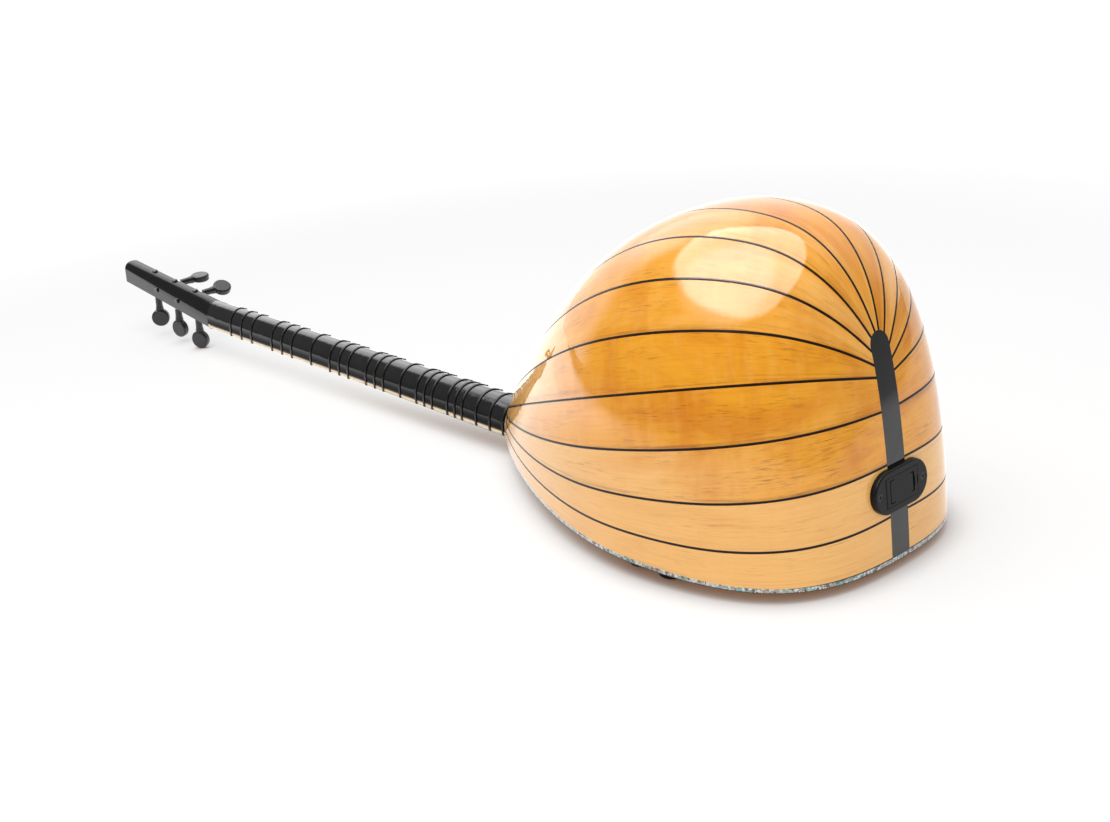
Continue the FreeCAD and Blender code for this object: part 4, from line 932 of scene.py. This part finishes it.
@dataclass
class Neck(Assembly):
    """Lacquered neck, its fingerboard, the tied frets with their knots, and the ring at the body."""

    face: Plane
    ring_width: float = 1.6 * MM
    ring_height: float = 0.25 * MM
    knot_size: Vector = field(default_factory=lambda: Vector((1.9, 1.3, 1.3)) * MM)
    knot_side: Vector = field(default_factory=lambda: Vector((0.0, 0.70, 0.71)))
    tail_length: float = 3.2 * MM
    tail_radius: float = 0.38 * MM
    tail_taper: float = 0.8
    tail_leans: tuple[float, float] = (-0.5, 0.6)
    tail_way: tuple[float, float] = (0.6, -0.5)
    seat_depth: float = 0.4

    def dress(self) -> None:
        """Finish the neck, its board and the nut."""
        dress(["neck"], BlackLacquer(face=self.face).material("neck_lacquer"))
        dress(["fingerboard"], FacedWood(self.face).material("fingerboard_wood"))
        dress(["nut"], PlainFilm(shade(224, 214, 190), 0.3).material("bone"))
        self.line = SatinBlack(shade(11, 9, 8), 0.34, 0.2).material("tied_line")
        dress(["tied_frets"], self.line)

    def add_pieces(self) -> None:
        """Add the ring and the knots."""
        self.add_ring()
        self.add_knots()

    def add_ring(self) -> None:
        """Lay a thin pale ring round the neck where it enters the bowl."""
        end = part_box("bowl_rib_09")[0].x
        ring = merged_copy("neck")
        for place, normal in ((end - self.ring_width, (-1, 0, 0)), (end, (1, 0, 0))):
            everything = [*ring.verts, *ring.edges, *ring.faces]
            bmesh.ops.bisect_plane(ring, geom=everything, plane_co=(place, 0, 0), plane_no=normal,
                                   clear_outer=True)
        bmesh.ops.recalc_face_normals(ring, faces=ring.faces)
        bmesh.ops.solidify(ring, geom=list(ring.faces), thickness=-self.ring_height)
        pale = PlainFilm(shade(206, 168, 116), 0.3).material("ring_maple")
        add_piece("neck_ring", ring, pale, "instrument", smooth=False)

    def add_knots(self) -> None:
        """Tie a small knot with two cut ends on every fret, along the neck's far edge."""
        knots = bmesh.new()
        for corners in separate_solids("tied_frets"):
            reach = corners @ np.array(self.knot_side)
            corner = Vector(corners[int(reach.argmax())])
            sunk = self.knot_side * (self.seat_depth * self.knot_size.y)
            seat = Vector((float(corners[:, 0].mean()), corner.y, corner.z)) - sunk
            grown = Matrix.Translation(seat) @ Matrix.Diagonal((*self.knot_size, 1.0))
            bmesh.ops.create_icosphere(knots, subdivisions=2, radius=1.0, matrix=grown)
            for lean in self.tail_leans:
                way = Vector((lean, *self.tail_way)).normalized()
                turn = way.to_track_quat("Z", "Y").to_matrix().to_4x4()
                middle = seat + way * (self.knot_size.y + self.tail_length / 2)
                bmesh.ops.create_cone(knots, cap_ends=True, segments=6, radius1=self.tail_radius,
                                      radius2=self.tail_radius * self.tail_taper, depth=self.tail_length,
                                      matrix=Matrix.Translation(middle) @ turn)
        add_piece("fret_knots", knots, self.line, "instrument")


@dataclass
class Head(Assembly):
    """Peg head, the five pegs and the turns of string on them."""

    def dress(self) -> None:
        """Finish the head, the pegs and the string ends."""
        dress(["peg_head"], BlackLacquer(gloss=0.5).material("head_lacquer"))
        dress(nodes_like("peg_", "peg_head"), SatinBlack(level=0.26).material("peg_wood"))
        dress(nodes_like("winding_"), BrightMetal(shade(190, 186, 176), 0.3).material("winding_wire"))


@dataclass
class BatteryBox(Assembly):
    """Moulded battery box in the tail, with its door, latch, screws, battery and contacts."""

    metal: bpy.types.Material

    def dress(self) -> None:
        """Finish the box and what it holds."""
        dress(["battery_housing"], MouldedPlastic().material("box_plastic"))
        door = MouldedPlastic(shade(9, 9, 10), 0.32)
        dress(["battery_door", "battery_latch"], door.material("door_plastic"))
        dress(["battery_screws"], BrightMetal(shade(56, 55, 54), 0.3).material("blackened_steel"))
        dress(["battery_hinge_pin", "battery_contacts"], self.metal)
        dress(["battery"], PlainFilm(shade(122, 126, 132), 0.35, 0.6).material("battery_jacket"))


@dataclass
class Electrics(Assembly):
    """Knobs with their pointer lines, potentiometers, preamplifier, pickup and output jack."""

    metal: bpy.types.Material
    controls: tuple[str, ...] = ("volume", "tone")
    mark_size: tuple[float, float, float] = (4.5 * MM, 0.9 * MM, 0.5 * MM)
    mark_proud: float = 0.12 * MM
    mark_from_edge: float = 1.6 * MM
    mark_rounding: float = 0.1 * MM

    def dress(self) -> None:
        """Finish the knobs and what lies inside the bowl."""
        dress(nodes_like("knob_"), MouldedPlastic(roughness=0.3).material("knob_plastic"))
        plated = ["potentiometers", "pot_nuts", *nodes_like("pot_shaft"), *nodes_like("output_jack")]
        dress(plated, self.metal)
        dress(["preamp_board"], PlainFilm(shade(30, 96, 58), 0.35).material("board"))
        dress(["pickup"], BrightMetal(shade(206, 172, 96), 0.3).material("brass"))

    def add_pieces(self) -> None:
        """Inlay a white pointer line in the face of each knob."""
        white = PlainFilm(shade(226, 224, 216), 0.35).material("pointer_white")
        for control in self.controls:
            entry = joint(f"{control}_turn")
            outward = Vector(entry["axis"])
            centre = Vector(entry["pos_m"])
            corners = np.array([vert.co[:] for vert in frame["nodes"][f"knob_{control}"].data.vertices])
            face = float(((corners - np.array(centre)) @ np.array(outward)).max())
            low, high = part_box(f"knob_{control}")
            length, breadth, depth = self.mark_size
            turn = outward.to_track_quat("Z", "X").to_matrix().to_4x4()
            across = turn.to_3x3() @ Vector((1, 0, 0))
            out = (high.y - low.y) / 2 - self.mark_from_edge - length
            place = centre + outward * (face + self.mark_proud - depth / 2) + across * out
            mark = bmesh.new()
            bmesh.ops.create_cube(mark, size=1.0, matrix=Matrix.Diagonal((length, breadth, depth, 1.0)))
            bmesh.ops.bevel(mark, geom=mark.edges[:], offset=self.mark_rounding, segments=2, profile=0.5,
                            material=-1, affect="EDGES")
            bmesh.ops.transform(mark, matrix=Matrix.Translation(place) @ turn, verts=mark.verts)
            pointer = add_piece(f"pointer_{control}", mark, white, f"{control}_control", smooth=False)


# ---------------------------------------------------------------- studio

@dataclass
class StudioCamera:
    """Camera behind the tail, low over the floor."""

    place: Vector = field(default_factory=lambda: Vector((1.29811, -0.86067, 0.53933)))
    target: Vector = field(default_factory=lambda: Vector((0.36438, -0.10583, 0.19166)))
    roll: float = -7.01
    lens: float = 53.01
    shift: float = -0.0887
    clip: tuple[float, float] = (0.01, 100.0)

    def build(self) -> None:
        """Create the camera and make it the scene's own."""
        data = bpy.data.cameras.new("camera")
        data.lens = self.lens
        data.shift_y = self.shift
        data.clip_start, data.clip_end = self.clip
        camera = bpy.data.objects.new("camera", data)
        bpy.context.scene.collection.objects.link(camera)
        look = (self.target - self.place).to_track_quat("-Z", "Y").to_matrix()
        turn = Matrix.Rotation(math.radians(self.roll), 3, "Z")
        camera.matrix_world = Matrix.Translation(self.place) @ (look @ turn).to_4x4()
        bpy.context.scene.camera = camera


@dataclass(frozen=True)
class Softbox:
    """Rectangular area light, aimed at the bowl."""

    name: str
    place: tuple[float, float, float]
    size: tuple[float, float]
    power: float
    target: tuple[float, float, float] = (0.42, 0.0, 0.15)

    def build(self) -> None:
        """Hang the light and aim it."""
        data = bpy.data.lights.new(self.name, "AREA")
        data.shape = "RECTANGLE"
        data.size, data.size_y = self.size
        data.energy = self.power
        lamp = bpy.data.objects.new(self.name, data)
        bpy.context.scene.collection.objects.link(lamp)
        lamp.location = self.place
        lamp.rotation_mode = "QUATERNION"
        lamp.rotation_quaternion = (Vector(self.target) - Vector(self.place)).to_track_quat("-Z", "Y")
        lamp.visible_glossy = False


@dataclass(frozen=True)
class Reflector:
    """Round bright panel far off, which only reflections show."""

    direction: tuple[float, float, float]
    radius: float
    softness: float
    strength: float

    def seen(self, graph: Graph) -> Value:
        """Find how bright it is in the direction of view.

        Args:
            graph: the world's tree.

        Returns:
            The brightness that it adds.
        """
        length = math.sqrt(sum(part * part for part in self.direction))
        facing = graph.along([part / length for part in self.direction])
        inner = math.cos(math.radians(self.radius - self.softness))
        outer = math.cos(math.radians(self.radius + self.softness))
        return facing.step(outer, inner) * self.strength


@dataclass
class Studio:
    """Pale floor, white surroundings with a dimmer room on the knobs' side, and soft lamps."""

    floor_size: float = 30.0
    floor_shade: float = 0.80
    paper: float = 0.30
    glow: tuple[float, float] = (0.68, 0.95)
    glow_reach: tuple[float, float] = (0.75, 1.9)
    surround: float = 0.55
    sheet_shine: tuple[float, float] = (1.05, 2.2)
    sheet_rise: tuple[float, float] = (0.15, -0.35)
    sheet_end: tuple[float, float] = (1.00, 0.88)
    sheet_front: tuple[float, float] = (-1.0, -0.5)
    # reach, samples, range and warm tint of the painted contact shadow on the floor
    contact: float = 0.034
    painted_shadow_samples: int = 16
    painted_shadow_range: tuple[float, float] = (0.1, 0.98)
    painted_shadow_tint: Colour = shade(122, 86, 62)
    room: float = 0.26
    backdrop_shine: float = 1.7
    backdrop: tuple[float, float, float] = (-0.35, 1.0, -0.35)
    backdrop_edge: tuple[float, float] = (-0.08, 0.14)
    backdrop_end: tuple[float, float] = (0.70, 0.25)
    reflectors: tuple[Reflector, ...] = (Reflector((-0.18, -0.50, 0.80), 26.0, 7.0, 4.0),
                                         Reflector((-0.08, -0.22, 0.86), 42.0, 1.8, 5.6),
                                         Reflector((-0.77, 0.27, 0.57), 18.0, 6.0, 1.4))
    lamps: tuple[Softbox, ...] = (Softbox("overhead_softbox", (0.2, -0.5, 1.9), (1.6, 1.4), 25.0),
                                  Softbox("tail_softbox", (2.0, -0.9, 1.0), (0.9, 0.9), 7.0))

    def floor(self) -> None:
        """Lay the floor, which shows white to the camera but keeps the shadow; near the instrument its glow
        carries a painted contact shadow, tinted warm as painted bounce light.
        """
        shell = bmesh.new()
        bmesh.ops.create_grid(shell, x_segments=1, y_segments=1, size=self.floor_size / 2)
        mesh = bpy.data.meshes.new("floor")
        shell.to_mesh(mesh)
        shell.free()
        ground = bpy.data.objects.new("floor", mesh)
        bpy.context.scene.collection.objects.link(ground)
        graph = Graph("floor_paper")
        plain = graph.node("ShaderNodeBsdfDiffuse", {}, {"Color": grey(self.floor_shade)})
        soft = graph.node("ShaderNodeBsdfDiffuse", {}, {"Color": grey(self.paper)})
        away = graph.node("ShaderNodeVectorMath", {"operation": "LENGTH"}, {0: graph.place()})
        near, far = self.glow
        strength = Value(graph, away.outputs["Value"]).step(*self.glow_reach) * (far - near) + near
        shiny = graph.ray("Glossy").math("MAXIMUM", graph.ray("Transmission"))
        strength = shiny * (self.reflected_sheet(graph) - strength) + strength
        # painted contact shadow: occlusion darkens the floor's glow under the instrument and tints it warm as
        # painted bounce light from the wood
        occlusion = graph.node("ShaderNodeAmbientOcclusion", {"samples": self.painted_shadow_samples},
                            {"Distance": self.contact})
        clear = Value(graph, occlusion.outputs["AO"]).step(*self.painted_shadow_range)
        colour = graph.mix(clear, self.painted_shadow_tint, grey(1.0))
        light = graph.node("ShaderNodeEmission", {}, {"Color": colour, "Strength": strength})
        bright = graph.node("ShaderNodeAddShader", {}, {0: soft.outputs[0], 1: light.outputs[0]})
        seen = graph.ray("Camera").math("MAXIMUM", shiny)
        both = graph.node("ShaderNodeMixShader", {}, {0: seen, 1: plain.outputs[0], 2: bright.outputs[0]})
        graph.node("ShaderNodeOutputMaterial", {}, {"Surface": both.outputs[0]})
        mesh.materials.append(graph.block)

    def reflected_sheet(self, graph: Graph) -> Value:
        """Find how bright the floor is in reflections: a white sheet that ends past the tail and in front.

        Args:
            graph: the floor's tree.

        Returns:
            The brightness.
        """
        sheet = graph.axis("X").step(*self.sheet_end) * graph.axis("Y").step(*self.sheet_front)
        near, far = self.sheet_shine
        shine = graph.axis("X").step(*self.sheet_rise) * (far - near) + near
        return sheet * (shine - self.room) + self.room

    def world(self) -> None:
        """Surround the floor with white, which reflections see dimmed on the room's side."""
        graph = Graph("surround", world=True)
        paper = graph.along(self.backdrop).step(*self.backdrop_edge)
        paper = paper * graph.axis("X").step(*self.backdrop_end)
        behind = paper * (self.backdrop_shine - self.room) + self.room
        for reflector in self.reflectors:
            behind = behind + reflector.seen(graph)
        shiny = graph.ray("Glossy").math("MAXIMUM", graph.ray("Transmission"))
        strength = shiny * (behind - self.surround) + self.surround
        seen = graph.ray("Camera")
        level = seen + (1.0 - seen) * strength
        backing = graph.node("ShaderNodeBackground", {}, {"Color": grey(1.0), "Strength": level})
        graph.node("ShaderNodeOutputWorld", {}, {"Surface": backing.outputs[0]})
        bpy.context.scene.world = graph.block

    def build(self) -> None:
        """Set the whole studio."""
        self.floor()
        self.world()
        for lamp in self.lamps:
            lamp.build()
        bpy.context.scene.view_settings.view_transform = "Standard"


def main() -> None:
    """Build the looks in order."""
    StudioCamera().build()
    Studio().build()
    lacquer = BlackLacquer().material("black_lacquer")
    nickel = BrightMetal(shade(150, 150, 152), 0.3).material("nickel")
    assemblies = (Bowl(lacquer), Face(lacquer), Neck(playing_face()), Head(), BatteryBox(nickel),
                  Electrics(nickel))
    for assembly in assemblies:
        assembly.build()


if __name__ == "__main__":
    main()
